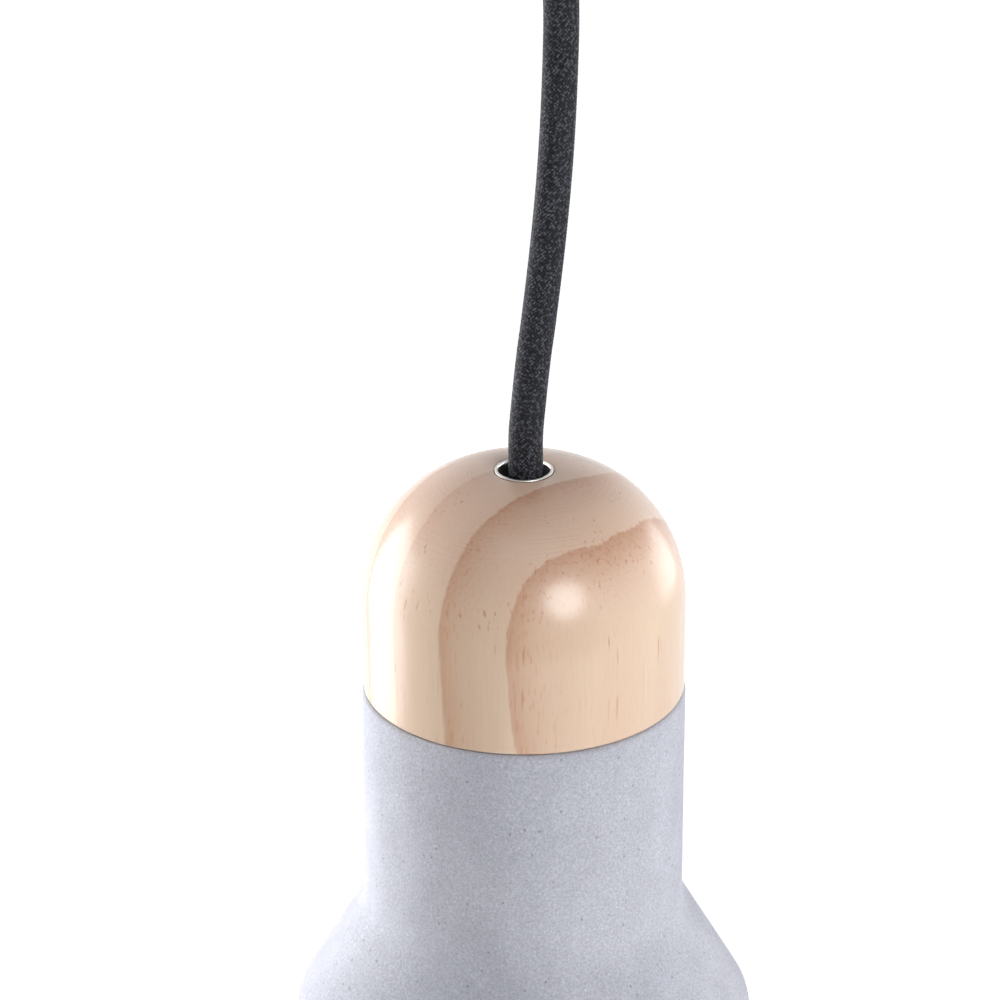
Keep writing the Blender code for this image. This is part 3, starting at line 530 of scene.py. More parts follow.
class Look:
    """A material's node tree, with short calls for the nodes that the looks share."""

    def __init__(self, name, **sockets):
        self.material = bpy.data.materials.new(name)
        self.material.use_nodes = True
        self.tree = self.material.node_tree
        self.shader = self.tree.nodes["Principled BSDF"]
        self.at = self.node("TexCoord").outputs["Object"]
        for key, value in sockets.items():
            self.plug(self.shader.inputs[key.replace("_", " ")], value)

    def plug(self, socket, value):
        if isinstance(value, bpy.types.NodeSocket):
            self.tree.links.new(value, socket)
        elif isinstance(value, tuple) and len(value) == 3 and len(socket.default_value) == 4:
            socket.default_value = (*value, 1)
        else:
            socket.default_value = value

    def node(self, kind, inputs=None, **settings):
        made = self.tree.nodes.new("ShaderNode" + kind)
        for key, value in settings.items():
            setattr(made, key, value)
        for key, value in (inputs or {}).items():
            self.plug(made.inputs[key], value)
        return made

    def stretch(self, scale):
        """The object's coordinates, scaled along each axis: a small scale draws a pattern out."""
        return self.node("VectorMath", {0: self.at, 1: scale}, operation="MULTIPLY").outputs[0]

    def noise(self, scale, detail=2.0, vector=None, rough=0.5, distortion=0.0):
        """Noise of a scale in cells per metre, from 0 to 1."""
        inputs = {"Vector": vector or self.at, "Scale": scale, "Detail": detail}
        inputs |= {"Roughness": rough, "Distortion": distortion}
        return self.node("TexNoise", inputs).outputs["Fac"]

    def attribute(self, name):
        return self.node("Attribute", attribute_name=name).outputs["Fac"]

    def maths(self, operation, first, second=0.0):
        return self.node("Math", {0: first, 1: second}, operation=operation).outputs[0]

    def times(self, first, second):
        return self.maths("MULTIPLY", first, second)

    def plus(self, first, second):
        return self.maths("ADD", first, second)

    def spread(self, value, low, high, to_low=0.0, to_high=1.0):
        """A value's range from low to high, carried over to another range and clamped."""
        inputs = {"Value": value, "From Min": low, "From Max": high, "To Min": to_low, "To Max": to_high}
        return self.node("MapRange", inputs).outputs[0]

    def ramp(self, value, stops):
        made = self.node("ValToRGB", {0: value})
        fill_ramp(made.color_ramp.elements, stops)
        return made.outputs[0]

    def mix(self, share, first, second, blend="MIX"):
        made = self.node("Mix", data_type="RGBA", blend_type=blend)
        self.plug(made.inputs[0], share)
        self.plug(made.inputs[6], first)
        self.plug(made.inputs[7], second)
        return made.outputs[2]

    def tinted(self, colour, value, *stops):
        """A colour multiplied by a ramp of greys over a value."""
        return self.mix(1.0, colour, self.ramp(value, stops), "MULTIPLY")

    def dots(self, scale, share, size, seed=0.0):
        """Sparse round spots, 1 inside and 0 outside: the share of cells that hold one, and its size."""
        shift = (seed, seed * 0.7, seed * 1.3)
        moved = self.node("VectorMath", {0: self.at, 1: shift}, operation="ADD").outputs[0]
        cells = self.node("TexVoronoi", {"Vector": moved, "Scale": scale})
        pick = self.node("SeparateColor", {0: cells.outputs["Color"]}).outputs[0]
        chosen = self.spread(pick, 1 - share, 1 - share * 0.5)
        inside = self.spread(cells.outputs["Distance"], size * 0.55, size, 1.0, 0.0)
        return self.times(chosen, inside)

    def bump(self, height, distance, strength=1.0, normal=None):
        """Bump of a height from 0 to 1, whose full height is a distance in millimetres."""
        inputs = {"Height": height, "Distance": distance * MM, "Strength": strength}
        if normal:
            inputs["Normal"] = normal
        return self.node("Bump", inputs).outputs["Normal"]

    def finished(self, colour, roughness, normal=None):
        """The material, once these are on its shader."""
        self.plug(self.shader.inputs["Base Color"], colour)
        self.plug(self.shader.inputs["Roughness"], roughness)
        if normal:
            self.plug(self.shader.inputs["Normal"], normal)
        return self.material


# The wood's growth rings are steep sheets across the cap, 12.3 mm apart. Each starts at a sharp dark edge.
RING_ACROSS = (0.599, -0.801, 0.0714)
RING_ALONG = (0.801, 0.599, 0.0)
RING_CURVE = -2.13  # per metre
RING_FLARE = 25.0  # extra curve per metre, past the next distance to the right
RING_FLARE_START = 6.0
RING_WANDER = ((38, 0.35, 2.6), (900, 0.12, 1.1))  # noise scale, scale along the grain, reach
RING_SPAN = 40.0
RING_EDGES = [(-36.5, 0.8), (-24.2, 0.7), (-12.2, 0.9), (-0.3, 0.45), (12.0, 0.85), (24.4, 0.95)]
# How far past its edge a ring keeps what share of its late wood
RING_FADE = ((-0.35, 0.03), (0.0, 1.0), (1.3, 0.78), (4.2, 0.34), (8.0, 0.05))
EARLY_WOOD = (0.72, 0.53, 0.37)
LATE_WOOD = (0.50, 0.250, 0.130)
PATCH_WOOD = (0.74, 0.48, 0.32)
RESIN = (0.47, 0.19, 0.085)
UPWARD_SHEEN_TINT = (1.12, 1.10, 1.22)  # multiplies the colour where the surface faces up: a painted sheen of the light from above, lighter and bluer


def growth_rings(look):
    """How much late wood there is at a point."""
    above = look.node("VectorMath", {0: look.at, 1: (0, 0, -SEAM * MM)}, operation="ADD").outputs[0]
    across, along = [look.node("VectorMath", {0: above, 1: way}, operation="DOT_PRODUCT").outputs["Value"]
                     for way in (RING_ACROSS, RING_ALONG)]  # fmt: skip
    bend = look.times(look.times(along, along), RING_CURVE)
    flare = look.maths("MAXIMUM", look.maths("SUBTRACT", along, RING_FLARE_START * MM), 0.0)
    bend = look.plus(bend, look.times(look.times(flare, flare), RING_FLARE))
    ring = look.plus(across, bend)
    for scale, grain, reach in RING_WANDER:
        wave = look.maths("SUBTRACT", look.noise(scale, 2, look.stretch((1, 1, grain))), 0.5)
        ring = look.plus(ring, look.times(wave, reach * MM))
    # One ring near the front is pushed outwards a little where the dome begins
    near = look.spread(look.maths("ABSOLUTE", along), 2 * MM, 15 * MM, 1.0, 0.0)
    push = look.times(near, look.spread(across, 16 * MM, 25 * MM, 0.0, -2.4 * MM))
    ring = look.plus(ring, push)
    stops = []
    for edge, strength in RING_EDGES:
        for past, share in RING_FADE:
            stops.append(((edge + past + RING_SPAN) / (2 * RING_SPAN), strength * share))
    return look.ramp(look.spread(ring, -RING_SPAN * MM, RING_SPAN * MM), stops)


def pine():
    look = Look("pine", Specular_IOR_Level=0.45, Coat_Weight=1.0, Coat_Roughness=0.22, Coat_IOR=1.5)
    late = growth_rings(look)
    fibre = look.noise(1500, 3, look.stretch((1, 1, 0.045)), 0.6)
    late = look.times(late, look.spread(fibre, 0.3, 0.7, 0.78, 1.15))
    colour = look.tinted(look.mix(late, EARLY_WOOD, LATE_WOOD), fibre, (0.3, 0.93), (0.7, 1.0))
    patch = look.noise(30, 2, look.stretch((1, 1, 0.3)))
    colour = look.mix(look.spread(patch, 0.35, 0.7, 0.0, 0.35), colour, PATCH_WOOD)
    # Thin resin streaks along the grain, and short flecks that crowd into the late wood
    streak = look.noise(1500, 1, look.stretch((1, 1, 0.022)), 0.4)
    mask = look.noise(150, 1, look.stretch((1, 1, 0.6)))
    resin = look.times(look.spread(streak, 0.66, 0.74), look.spread(mask, 0.5, 0.58))
    colour = look.mix(look.times(resin, 0.72), colour, RESIN)
    pore = look.noise(1900, 1, look.stretch((1, 1, 0.16)), 0.4)
    fleck = look.times(look.spread(pore, 0.59, 0.72), look.spread(late, 0.1, 0.6, 0.12, 0.95))
    colour = look.mix(look.times(fleck, 0.5), colour, RESIN)
    # The dome cuts across the fibres and shows the turning tool's rings. Where the surface faces up, its
    # colour is made lighter and bluer: a painted sheen of the light from above
    normal = look.node("TexCoord").outputs["Normal"]
    end = look.spread(look.node("SeparateXYZ", {0: normal}).outputs["Z"], 0.15, 0.95)
    colour = look.mix(end, colour, look.mix(1.0, colour, UPWARD_SHEEN_TINT, "MULTIPLY"))
    x, y, z = look.node("SeparateXYZ", {0: look.at}).outputs
    radius = look.maths("SQRT", look.plus(look.times(x, x), look.times(y, y)))
    travel = look.node("CombineXYZ", {0: look.maths("SUBTRACT", radius, z)}).outputs[0]
    marks = look.noise(2300, 1, travel, 0.5)
    patchy = look.spread(look.noise(60, 1), 0.42, 0.62)
    marked = look.tinted(colour, marks, (0.35, 0.86), (0.6, 1.04))
    colour = look.mix(look.times(look.times(end, patchy), 0.9), colour, marked)
    grain = look.plus(look.times(fibre, 0.6), look.times(marks, 0.4))
    return look.finished(colour, look.spread(fibre, 0.3, 0.7, 0.44, 0.56), look.bump(grain, 0.03, 0.5))


def concrete():
    look = Look("concrete", Specular_IOR_Level=0.35)
    cloud = look.noise(32, 3, distortion=0.4)
    cast = look.noise(150, 3, look.stretch((1, 1, 0.6)))
    sand = look.noise(2100, 2, rough=0.65)
    silt = look.noise(5200, 1)
    base = look.ramp(cloud, [(0.3, (0.478, 0.488, 0.555)), (0.7, (0.542, 0.550, 0.615))])
    base = look.tinted(base, cast, (0.35, 0.955), (0.65, 1.03))
    base = look.tinted(base, sand, (0.30, 0.79), (0.70, 1.16))
    base = look.tinted(base, silt, (0.35, 0.92), (0.65, 1.08))
    pits = look.dots(700, 0.10, 0.26)
    holes = look.dots(340, 0.05, 0.17, 0.3)
    specks = look.dots(900, 0.05, 0.30, 0.9)
    # The pits and holes are painted dark inside, as painted shade in them, and the bump below also sinks them
    dark = look.maths("MAXIMUM", look.times(pits, 0.55), look.times(holes, 0.45))
    base = look.mix(dark, base, (0.16, 0.16, 0.17))
    base = look.mix(look.times(specks, 0.5), base, (0.78, 0.79, 0.80))
    depth = look.maths("SUBTRACT", look.times(sand, 0.5), look.times(dark, 0.9))
    relief = look.bump(depth, 0.10, 0.8, look.bump(cast, 0.10, 0.5))
    return look.finished(base, look.spread(sand, 0.3, 0.7, 0.72, 0.88), relief)


def textile():
    look = Look("braid", Specular_IOR_Level=0.15, Sheen_Weight=0.05, Sheen_Roughness=0.4,
                Sheen_Tint=(0.72, 0.80, 1.0))  # fmt: skip
    lift = look.attribute("lift")
    fibre = look.noise(5200, 2, rough=0.6)
    # Near black where a strand lies low between the others: painted shade in the braid's grooves
    base = look.ramp(lift, [(0.35, (0.0015, 0.0015, 0.0018)), (0.95, (0.022, 0.023, 0.029))])
    base = look.tinted(base, look.attribute("shade"), (0.0, 0.45), (1.0, 1.25))
    base = look.tinted(base, fibre, (0.3, 0.30), (0.72, 1.9))
    base = look.tinted(base, look.noise(1700, 2), (0.35, 0.55), (0.65, 1.35))
    # Paler yarns show here and there where a strand comes to the top
    pale = look.spread(look.noise(1700, 1, rough=0.4), 0.50, 0.62)
    fleck = look.times(look.times(pale, look.spread(lift, 0.6, 0.9)), 0.8)
    base = look.mix(fleck, base, (0.125, 0.133, 0.158))
    return look.finished(base, look.spread(fibre, 0.3, 0.7, 0.42, 0.72), look.bump(fibre, 0.07, 0.8))


def brushed(name, colour, roughness, scale, worn):
    """A metal with fine brush lines and slight tarnish."""
    look = Look(name, Metallic=1.0)
    lines = look.noise(160, 3, look.stretch(scale), 0.7)
    cloud = look.noise(180, 3)
    tint = look.tinted(colour, cloud, (0.35, 1 - worn), (0.65, 1.0))
    tint = look.tinted(tint, lines, (0.35, 0.94), (0.65, 1.0))
    rough = look.spread(lines, 0.3, 0.7, roughness * 0.75, roughness * 1.2)
    rough = look.plus(rough, look.spread(cloud, 0.4, 0.7, 0.0, worn * 0.6))
    return look.finished(tint, rough, look.bump(lines, 0.006, 0.5))


def powder_coat():
    look = Look("black_steel", Specular_IOR_Level=0.35)
    colour = look.ramp(look.noise(45, 2), [(0.3, (0.009, 0.009, 0.010)), (0.7, (0.014, 0.014, 0.016))])
    rough = look.spread(look.noise(90, 2), 0.3, 0.7, 0.38, 0.5)
    return look.finished(colour, rough, look.bump(look.noise(1500, 2), 0.05, 0.6))


def plastic(name, colour, roughness, texture=1400, depth=0.02, **sockets):
    """Moulded plastic: a faint surface texture and slow changes of shade."""
    look = Look(name, **sockets)
    skin = look.noise(texture, 2)
    dark = tuple(channel * 0.88 for channel in colour)
    shade = look.mix(look.spread(look.noise(70, 2), 0.35, 0.65), dark, colour)
    rough = look.spread(skin, 0.3, 0.7, roughness * 0.85, roughness * 1.15)
    return look.finished(shade, rough, look.bump(skin, depth, 0.6))


def circuit_board():
    look = Look("board")
    cells = {"Vector": look.at, "Scale": 260.0, "Mortar": (0.05, 0.30, 0.14), "Mortar Size": 0.03}
    cells |= {"Color1": (0.02, 0.16, 0.07), "Color2": (0.03, 0.20, 0.09)}
    colour = look.node("TexBrick", cells).outputs["Color"]
    return look.finished(colour, look.spread(look.noise(800, 2), 0.3, 0.7, 0.32, 0.5))


def earth_insulation():
    """Green insulation with a yellow stripe that winds round it."""
    look = Look("earth_core")
    stripe = look.ramp(look.attribute("stripe"), [(0.0, 0.0), (0.47, 0.0), (0.53, 1.0), (1.0, 1.0)])
    colour = look.mix(stripe, (0.04, 0.26, 0.05), (0.75, 0.62, 0.03))
    return look.finished(colour, look.spread(look.noise(900, 2), 0.3, 0.7, 0.36, 0.5))


MATERIALS = {
    "pine": pine(),
    "concrete": concrete(),
    "braid": textile(),
    "nickel": brushed("nickel", (0.86, 0.835, 0.80), 0.30, (1, 1, 30), 0.06),
    "zinc_steel": brushed("zinc_steel", (0.62, 0.63, 0.64), 0.34, (3, 40, 3), 0.22),
    "brass": brushed("brass", (0.80, 0.58, 0.27), 0.24, (1, 1, 30), 0.25),
    "black_steel": powder_coat(),
    "black_nylon": plastic("black_nylon", (0.022, 0.022, 0.024), 0.45),
    "white_plastic": plastic("white_plastic", (0.80, 0.80, 0.77), 0.38, Subsurface_Weight=0.05),
    "ceramic": plastic("ceramic", (0.84, 0.82, 0.76), 0.2, 500, 0.03, Coat_Weight=0.5, Coat_Roughness=0.08),
    "opal": plastic("opal", (0.90, 0.90, 0.88), 0.22, 220, 0.01,
                    Subsurface_Weight=0.35, Subsurface_Scale=0.006),
    "board": circuit_board(),
    "brown_core": plastic("brown_core", (0.20, 0.075, 0.025), 0.4),
    "blue_core": plastic("blue_core", (0.03, 0.12, 0.44), 0.4),
    "earth_core": earth_insulation(),
}  # fmt: skip


# ---------------------------------------------------------------- pieces


def place(obj, slot, body, *nodes):
    """Gives a finished piece its material, and puts it on its body in place of these CAD nodes."""
    obj.data.materials.clear()
    obj.data.materials.append(MATERIALS[slot])
    if body:
        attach(obj, body)
    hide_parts(*nodes)


def carry(slot, *nodes):
    """CAD nodes whose shape stays get the finer material."""
    for node in nodes:
        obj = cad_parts[node]
        obj.data.materials.clear()
        obj.data.materials.append(MATERIALS[slot])
        obj.data.shade_smooth()
        obj.data.set_sharp_from_angle(angle=SHARP_ANGLE)


def below(points):
    """(radius, depth below the seam) as (radius, Z)."""
    return [(radius, SEAM - depth) for radius, depth in points]


def ribbed(depth, count, from_radius, low, high):
    """A shape for turned(): grooves down a piece, between two heights and outside a radius."""

    def shape(angle, r, z):
        groove = depth * (0.5 + 0.5 * math.cos(count * angle))
        return r - (groove if r > from_radius and low < z < high else 0)

    return shape


def core(name, points):
    """One insulated core, with the turn of its stripe."""

    def stripe(along, angle):
        return {"stripe": np.abs(np.mod(angle / TURN + along / 9.0, 1.0) * 2 - 1)}

    return tube(name, points, CORE_RADIUS, 20, 0.4, values=stripe)[0]


def make_ceiling_fitting():
    body = "ceiling_fitting"
    place(bevelled("strap", "mounting_strap", 0.3), "zinc_steel", body, "mounting_strap")
    floor, corner = -CANOPY_DEPTH, CANOPY_CORNER
    corner_r, corner_z = CANOPY_RADIUS - corner, floor + corner
    profile = [(CANOPY_RADIUS - CANOPY_WALL, -GAP), (CANOPY_RADIUS, -GAP)]
    profile += arc(corner_r, corner_z, corner, 0, -90, 12)
    profile += [(12.0, floor), (PIPE_HOLE, floor), (PIPE_HOLE, floor + CANOPY_WALL)]
    profile += arc(corner_r, corner_z, corner - CANOPY_WALL, -90, 0, 8)
    canopy = turned("canopy", softened(profile, 0.35), 160)
    holes = []
    for sign in (-1, 1):
        holes.append(drill(M4_HOLE, (sign * 45, 0, CANOPY_SCREW_Z), (sign * 52, 0, CANOPY_SCREW_Z)))
    place(cut_out(canopy, *holes), "black_steel", body, "ceiling_canopy")
    for side, sign in (("left", -1), ("right", 1)):
        seat = (sign * (CANOPY_RADIUS + GAP), 0, CANOPY_SCREW_Z)
        piece = screw("canopy_fixing_" + side, 3.8, 2.6, M4_RADIUS, 9.0, seat, (-sign, 0, 0))
        place(piece, "zinc_steel", body, "canopy_screw_" + side)
    make_grip(body)

    place(bevelled("terminal_body", "terminal_block", 0.5), "white_plastic", body, "terminal_block")
    carry("brass", "terminal_sleeve_live", "terminal_sleeve_earth", "terminal_sleeve_neutral")
    for pole, x in (("live", -POLE_PITCH), ("earth", 0.0), ("neutral", POLE_PITCH)):
        clamp = screw("terminal_fixing_" + pole, 1.6, 0.8, 1.3, 1.8, (x, -4, -11.6), (0, 0, 1), cross=False)
        place(clamp, "zinc_steel", body, "terminal_screw_" + pole)
    earth = screw("earth_fixing", 3.4, 2.0, M4_RADIUS, 1.8, (24, 0, -2.3), (0, 0, 1))
    place(earth, "brass", body, "strap_earth_screw")

    tail = [(0, 0, CORD_TAIL_TOP), (0, 0, CORD_NECK[0] + GAP)]
    place(braided("cord_end", tail, 96, 0.3)[0], "braid", body, "cord_tail")
    # Each core rises from the cord's end, and turns forwards and up into its terminal
    into = [(-13.0, -11.5), (-13.2, -8.6), (-11.0, -6.7), (-8.0, POLE_Z), (-4.5, POLE_Z)]
    for name, slot, x0, y0, pole_x in (
        ("live_core", "brown_core", -1.8, 0.4, -POLE_PITCH),
        ("neutral_core", "blue_core", 1.8, 0.4, POLE_PITCH),
        ("earth_core", "earth_core", 0.0, -1.8, 0.0),
    ):
        points = [(x0, y0, -17.5), (x0, y0, -16.9), (x0 * 1.1, y0 - 0.6, -16.0)]
        points += [((x0 + pole_x) / 2.4, -4.4, -15.2), ((x0 + 2 * pole_x) / 2.7, -9.5, -14.2)]
        points += [(pole_x, y, z) for y, z in into]
        place(core("upper_" + name, points), slot, body, name + "_upper")
    link = [
        (0.0, 4.5, -6.5), (0.0, 9.0, -6.5), (2.5, 12.2, -7.0), (8.0, 13.5, -8.0),
        (16.0, 12.2, -7.0), (21.0, 8.6, -5.0), (23.4, 6.0, -3.8), (24.0, 4.6, -3.4),
    ]  # fmt: skip
    place(core("link_wire", link), "earth_core", body, "earth_link_wire")


def make_grip(body):
    """The cord grip under the canopy, with its clamping screw and nut."""
    flange_top, flange_bottom = -CANOPY_DEPTH - GAP, -29.0
    flange, lip, throat = GRIP_RADIUS + 1.0, 1.2, 4.0
    profile = [(GRIP_BORE, -19.0), (PIPE_RADIUS, -19.0), (PIPE_RADIUS, flange_top), (flange, flange_top)]
    profile += [(flange, flange_bottom + 0.6), (GRIP_RADIUS + 0.4, flange_bottom)]
    profile += [(GRIP_RADIUS, flange_bottom)]
    profile += arc(GRIP_RADIUS - lip, PIVOT + lip, lip, 0, -90, 6) + [(GRIP_MOUTH, PIVOT)]
    for t in (0.1, 0.25, 0.45, 0.7, 1.0):
        rise = throat * (1 - (1 - t) ** 2) ** 0.5
        profile.append((GRIP_MOUTH - (GRIP_MOUTH - GRIP_BORE) * t, PIVOT + rise))
    grip = turned("grip", softened(profile, 0.25), 96)
    cut_out(grip, drill(M4_HOLE, (2.7, 0, GRIP_SCREW_Z), (10, 0, GRIP_SCREW_Z)))
    place(grip, "black_nylon", body, "cord_grip_body")
    grub = screw("grip_fixing", 1.85, 1.4, 1.7, 3.7, (7.6, 0, GRIP_SCREW_Z), (-1, 0, 0), cross=False)
    place(grub, "black_nylon", body, "cord_grip_screw")
    place(bevelled("grip_nut", "cord_grip_nut", 0.35), "black_nylon", body, "cord_grip_nut")


def make_cord():
    """The braided cord, which hangs from the grip and goes into the wooden cap."""
    route = [(x, 0, CAP_TOP + height) for x, height in CORD_ROUTE]
    route += [(0, 0, CORD_NECK[1]), (0, 0, CORD_NECK[0])]
    cord, path = braided("cord", route)
    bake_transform(cord)
    place(cord, "braid", None, "hanging_cord", "cord_neck")


def make_cap():
    """The wooden cap, hollow inside with a spigot in the concrete, and its ferrule."""
    bottom, top = SEAM + GAP / 2, CAP_TOP
    across, down = CAP_CORNER
    straight, spigot, edge, vault = top - down, SEAM - SPIGOT_DEPTH, 0.6, 14.0
    profile = [(FERRULE_HOLE + out, top - drop) for out, drop in ((0.0, 0.45), (0.05, 0.12), (0.2, 0.01))]
    profile += arc(CAP_RADIUS - across, straight, across, 90, 0, 56, down)
    profile += [(CAP_RADIUS, straight - (straight - bottom) * t) for t in (0.25, 0.5, 0.75)]
    profile += arc(CAP_RADIUS - edge, bottom + edge, edge, 0, -90, 5)
    profile += [(SPIGOT_RADIUS, bottom), (SPIGOT_RADIUS, spigot + edge), (SPIGOT_RADIUS - edge, spigot)]
    profile += [(CAP_CAVITY_RADIUS, spigot)]
    profile += arc(CAP_CAVITY_RADIUS - vault, top - vault - 8, vault, 0, 90, 14) + [(FERRULE_HOLE, top - 8)]
    place(turned("cap_wood", profile, 192), "pine", "cap", "wooden_cap")

    # The ferrule's lip rolls over the edge of the hole
    rim = top + GAP / 2
    lip = [(5.1, -0.5), (5.18, -0.2), (5.34, 0.02), (5.54, 0.08), (5.74, 0.03), (5.86, -0.06), (5.88, -0.12),
           (5.8, -0.16), (5.68, -0.2)]  # fmt: skip
    ring = lip + [(FERRULE_RADIUS, -0.75), (FERRULE_RADIUS, -FERRULE_LENGTH), (FERRULE_BORE, -FERRULE_LENGTH)]
    ring = [(r, rim + z) for r, z in reversed(ring)]
    place(turned("ferrule", ring, 128), "nickel", "cap", "cord_ferrule")


def cast_skin(angle, radius, z):
    """A casting isn't quite round: it has slow waves of under 0.1 mm, and small nicks at its edges."""
    spot = Vector((math.cos(angle), math.sin(angle), z / 30))
    wave = 0.05 * noise.noise(spot * 1.7) + 0.035 * noise.noise(spot * 5.0)
    edge = min(abs(z - SEAM), abs(z - SEAM + SHADE_HEIGHT))
    nick = max(0.0, noise.noise(spot * 23.0 + Vector((3, 7, 1))) - 0.25) * 0.5 * max(0.0, 1 - edge / 1.6)
    return radius + wave - nick


def make_shade():
    """The cast shade: a straight neck, a conical shoulder and a bell open at the bottom."""
    lean, slope = math.degrees(SHOULDER_ANGLE), math.tan(SHOULDER_ANGLE)
    top, edge = SEAM - GAP / 2, 1.0
    neck_top = top - edge
    outer = [(RECESS_RADIUS, top), (28.5, top)] + arc(NECK_RADIUS - edge, neck_top, edge, 90, 0, 6)
    fillet_z = SEAM - KINK_DEPTH + KINK_FILLET * math.tan(SHOULDER_ANGLE / 2)
    outer += [(NECK_RADIUS, neck_top - (neck_top - fillet_z) * t) for t in np.linspace(0.08, 0.92, 9)]
    outer += arc(NECK_RADIUS + KINK_FILLET, fillet_z, KINK_FILLET, 180, 180 + lean, 10)
    cone_r, cone_z = outer[-1]
    end_r = BODY_RADIUS - SHOULDER_ROUND * (1 - math.cos(SHOULDER_ANGLE))
    end_z = cone_z - (end_r - cone_r) / slope
    round_z = end_z - SHOULDER_ROUND * math.sin(SHOULDER_ANGLE)
    outer += [(cone_r + (end_r - cone_r) * t, cone_z + (end_z - cone_z) * t) for t in (0.25, 0.5, 0.75)]
    outer += arc(BODY_RADIUS - SHOULDER_ROUND, round_z, SHOULDER_ROUND, lean, 0, 10)
    rim_z = SEAM - SHADE_HEIGHT + RIM_ROUND
    for t in np.linspace(0.08, 0.97, 12):
        outer.append((BODY_RADIUS - (BODY_RADIUS - RIM_RADIUS) * t**2, round_z + (rim_z - round_z) * t))
    outer += arc(RIM_RADIUS - RIM_ROUND, rim_z, RIM_ROUND, 0, -90, 8)
    outer += arc(RIM_RADIUS - SHADE_WALL + RIM_ROUND, rim_z, RIM_ROUND, -90, -180, 8)

    wide = BODY_RADIUS - SHADE_WALL
    inner_r = cone_r - SHADE_WALL * math.cos(SHOULDER_ANGLE)
    inner_z = cone_z - SHADE_WALL * math.sin(SHOULDER_ANGLE)
    inside = [(r, inner_z - (r - inner_r) / slope) for r in (wide, NECK_BORE)]
    inside += [(NECK_BORE, SEAM - WEB_BOTTOM), (PIPE_HOLE, SEAM - WEB_BOTTOM)]
    inside += [(PIPE_HOLE, SEAM - RECESS_DEPTH), (RECESS_RADIUS, SEAM - RECESS_DEPTH)]
    for (r, z), (next_r, next_z) in zip(inside, inside[1:]):
        outer += [(r + (next_r - r) * t, z + (next_z - z) * t) for t in (0, 0.33, 0.66)]
    outer.append(inside[-1])
    shade = turned("shade_concrete", softened(outer, 0.5), 224, shape=cast_skin)
    place(shade, "concrete", "pendant", "concrete_shade")


def make_suspension():
    """What holds the shade: the threaded pipe, washers and nut, and the cord's strain relief."""
    body = "pendant"
    pipe = threaded("nipple", PIPE_RADIUS, 0.95, 0.45, 1.0, SEAM + 2.2, SEAM - 25.0, 48, True)
    place(pipe, "zinc_steel", body, "threaded_nipple")
    for name, node, radius, top in (
        ("washer_above", "upper_washer", 9.0, 6.7),
        ("washer_below", "lower_washer", 12.0, 16.3),
    ):
        ring = [(PIPE_HOLE, top), (radius, top), (radius, top + 1), (PIPE_HOLE, top + 1)]
        place(turned(name, softened(below(ring), 0.2), 72), "zinc_steel", body, node)
    place(bevelled("pipe_nut", "nipple_nut", 0.4), "zinc_steel", body, "nipple_nut")
    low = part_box("strain_relief")[0].z / MM
    outside, screw_z, pipe_end = 8.5, SEAM + 8, SEAM + 2.6
    relief = [(GRIP_BORE, SEAM + 14), (7.0, SEAM + 14), (outside, SEAM + 12.5), (outside, low)]
    relief += [(PIPE_HOLE, low), (PIPE_HOLE, pipe_end), (GRIP_BORE, pipe_end)]
    ribs = ribbed(0.25, 20, 8, SEAM - 1, SEAM + 4)
    relief = turned("relief", softened(relief, 0.35), 72, shape=ribs)
    cut_out(relief, drill(M4_HOLE, (3.0, 0, screw_z), (10.5, 0, screw_z)))
    place(relief, "black_nylon", body, "strain_relief")
    fixing = screw("relief_fixing", 1.85, 1.4, 1.7, 4.2, (8.1, 0, screw_z), (-1, 0, 0), cross=False)
    place(fixing, "black_nylon", body, "strain_relief_screw")
    lowest = [(0, 0, CAP_TOP - 11.3), (0, 0, SEAM - 21)]
    place(braided("cord_inside", lowest, 96, 0.3)[0], "braid", body, "inner_cord")


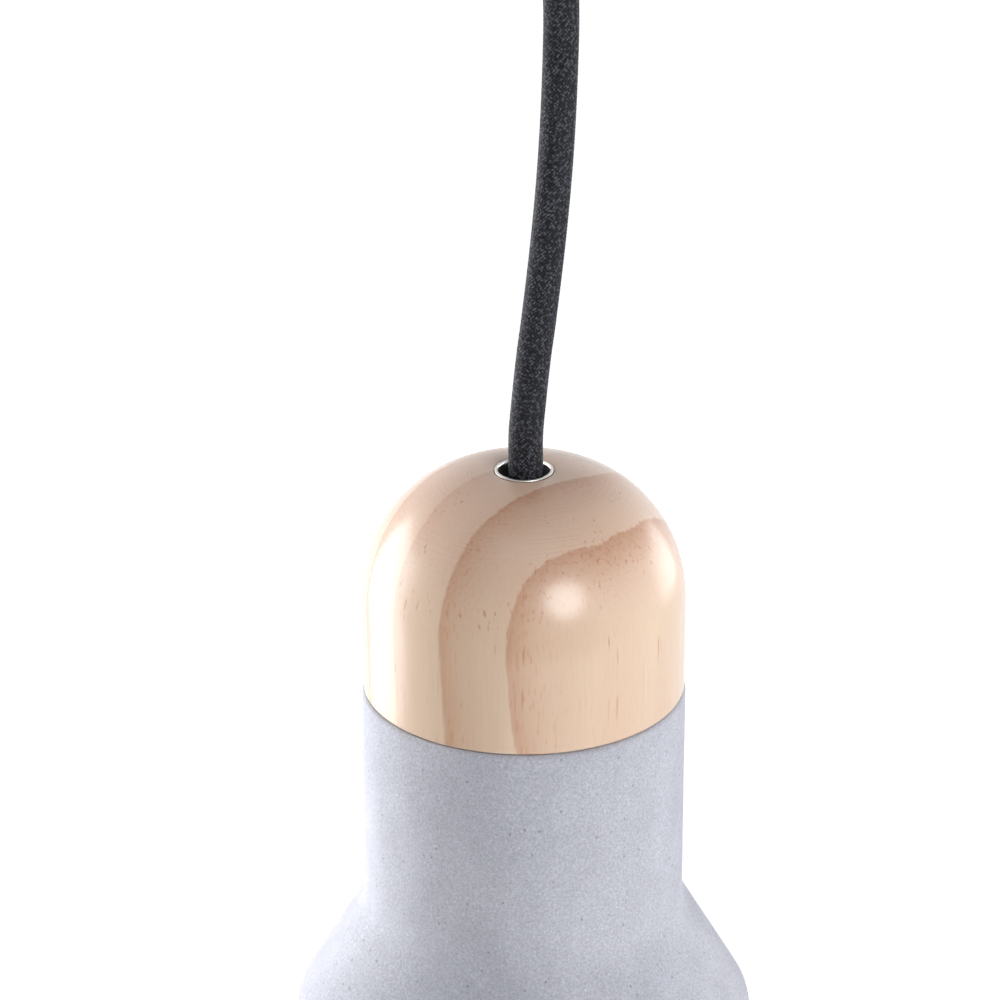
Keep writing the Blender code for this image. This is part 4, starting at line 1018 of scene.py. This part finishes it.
def make_lampholder():
    body = "pendant"
    # Both sides of the cup are quarter ellipses about the same point, 10 mm out and 33 mm down
    outer = [(r, 33 - z) for r, z in arc(10, 0, 11, 80, 0, 14, 9)]
    inner = [(r, 33 - z) for r, z in arc(10, 0, 9.6, 0, 80, 12, 7.6)]
    cup = [(PIPE_HOLE, HOLDER_TOP), (9.0, HOLDER_TOP)] + outer
    cup += [(HOLDER_RADIUS, HOLDER_SPLIT), (19.6, HOLDER_SPLIT)] + inner + [(PIPE_HOLE, 25.2)]
    holder = turned("holder_cup", softened(below(cup), 0.3), 96)
    earth_z = SEAM - HOLDER_EARTH
    cut_out(holder, drill(1.8, (0, 17, earth_z), (0, 23, earth_z)))
    place(holder, "nickel", body, "lampholder_cap")
    earth = screw("holder_earth_fixing", 2.6, 1.6, 1.5, 5.5, (0, 21.3, earth_z), (0, -1, 0))
    place(earth, "brass", body, "lampholder_earth_screw")
    skirt = [(19.5, 45.3), (HOLDER_RADIUS, 45.3), (HOLDER_RADIUS, 48.0)]
    skirt += [(HOLDER_RADIUS, depth) for depth in np.linspace(49, 68, 6)]
    skirt += [(HOLDER_RADIUS, 71.0), (20.2, 72.0), (14.9, 72.0), (14.9, 70.6), (18.0, 70.6), (18.0, 50.0)]
    skirt += [(19.5, 50.0)]
    ribs = ribbed(0.45, 36, 20.9, SEAM - 68.5, SEAM - 48.5)
    skirt = turned("holder_skirt", softened(below(skirt), 0.25), 288, shape=ribs)
    place(skirt, "black_nylon", body, "lampholder_skirt")
    shell = threaded("socket_thread", 14.45, 0.35, 0.75, E27_PITCH, SEAM - 50.0, SEAM - 70.2)
    plate = [(3.6, 49.3), (14.5, 49.3), (14.5, 50.3), (13.9, 50.3), (13.9, 49.9), (3.6, 49.9)]
    plate = turned("socket_plate", softened(below(plate), 0.1), 72)
    place(shell, "brass", body, "socket_thread_shell")
    place(plate, "brass", body, "socket_thread_shell")
    place(bevelled("contact_tongue", "centre_contact", 0.12), "brass", body, "centre_contact")
    carry("ceramic", "lampholder_insert")
    carry("brass", "holder_screw_live", "holder_screw_neutral")
    for slot, pole in (("brown_core", "live"), ("blue_core", "neutral"), ("earth_core", "earth")):
        carry(slot, pole + "_core_lower")


def make_bulb():
    contact = [(1.6, 0.02), (3.0, 0.15), (4.1, 0.5), (4.6, 0.9), (4.6, 1.4), (0, 1.4)]
    contact = below([(0, BULB_TOP)] + [(r, BULB_TOP + z) for r, z in contact])
    contact = turned("lamp_contact", contact, 64, closed=False)
    place(contact, "zinc_steel", "bulb_carriage", "bulb_contact")

    body = "bulb"
    insulator = softened(below([(0, 53.7), (5.2, 53.7), (9.5, 56.0), (9.5, 57.0), (0, 57.0)]), 0.3, False)
    place(turned("lamp_insulator", insulator, 72, closed=False), "black_nylon", body, "bulb_insulator")
    thread = threaded("lamp_thread", 13.1, 0.4, 0.95, E27_PITCH, SEAM - 59.0, SEAM - 78.0)
    place(thread, "zinc_steel", body, "bulb_screw_shell")
    crown = [(9.9, 56.3), (11.0, 56.3), (12.6, 57.4), (13.1, 59.2), (12.7, 59.2), (12.2, 57.8), (10.8, 56.8)]
    crown = turned("lamp_crown", below([*crown, (9.9, 56.8)]), 72)
    place(crown, "zinc_steel", body, "bulb_screw_shell")
    wide, narrow, low, high = BULB_COLLAR_RADIUS, 14.3, BULB_COLLAR_BOTTOM, 80.0
    collar = [(10.0, 78.3), (13.6, 78.3), (narrow, high)]
    collar += [(narrow + (wide - narrow) * t**1.25, high + (low - high) * t) for t in (0.2, 0.4, 0.6, 0.8)]
    collar += [(wide, low), (18.2, low), (12.9, high), (10.0, high - 0.4)]
    place(turned("lamp_collar", softened(below(collar), 0.25), 128), "white_plastic", body, "bulb_collar")

    widest, top = BULB_BOTTOM - BULB_RADIUS, BULB_COLLAR_BOTTOM + GAP
    outer = []
    for t in np.linspace(0, 0.96, 14):
        outer.append((wide + (BULB_RADIUS - wide) * math.sin(t * math.pi / 2), top + (widest - top) * t))
    outer += [(r, widest - z) for r, z in arc(0, 0, BULB_RADIUS, 0, -90, 30)]
    inner = [(max(r - GLOBE_WALL, 0), depth - (GLOBE_WALL if depth > widest else 0)) for r, depth in outer]
    outer[-1] = (0, BULB_BOTTOM)
    inner = [point for point in inner[:-1] if point[0] > 0] + [(0, BULB_BOTTOM - GLOBE_WALL)]
    globe = turned("lamp_globe", below(inner[::-1] + outer), 128, closed=False)
    place(globe, "opal", body, "bulb_globe")
    carry("white_plastic", "bulb_led_board")
    carry("board", "bulb_driver_board")


make_camera()
make_stage()
make_ceiling_fitting()
make_cord()
make_cap()
make_shade()
make_suspension()
make_lampholder()
make_bulb()
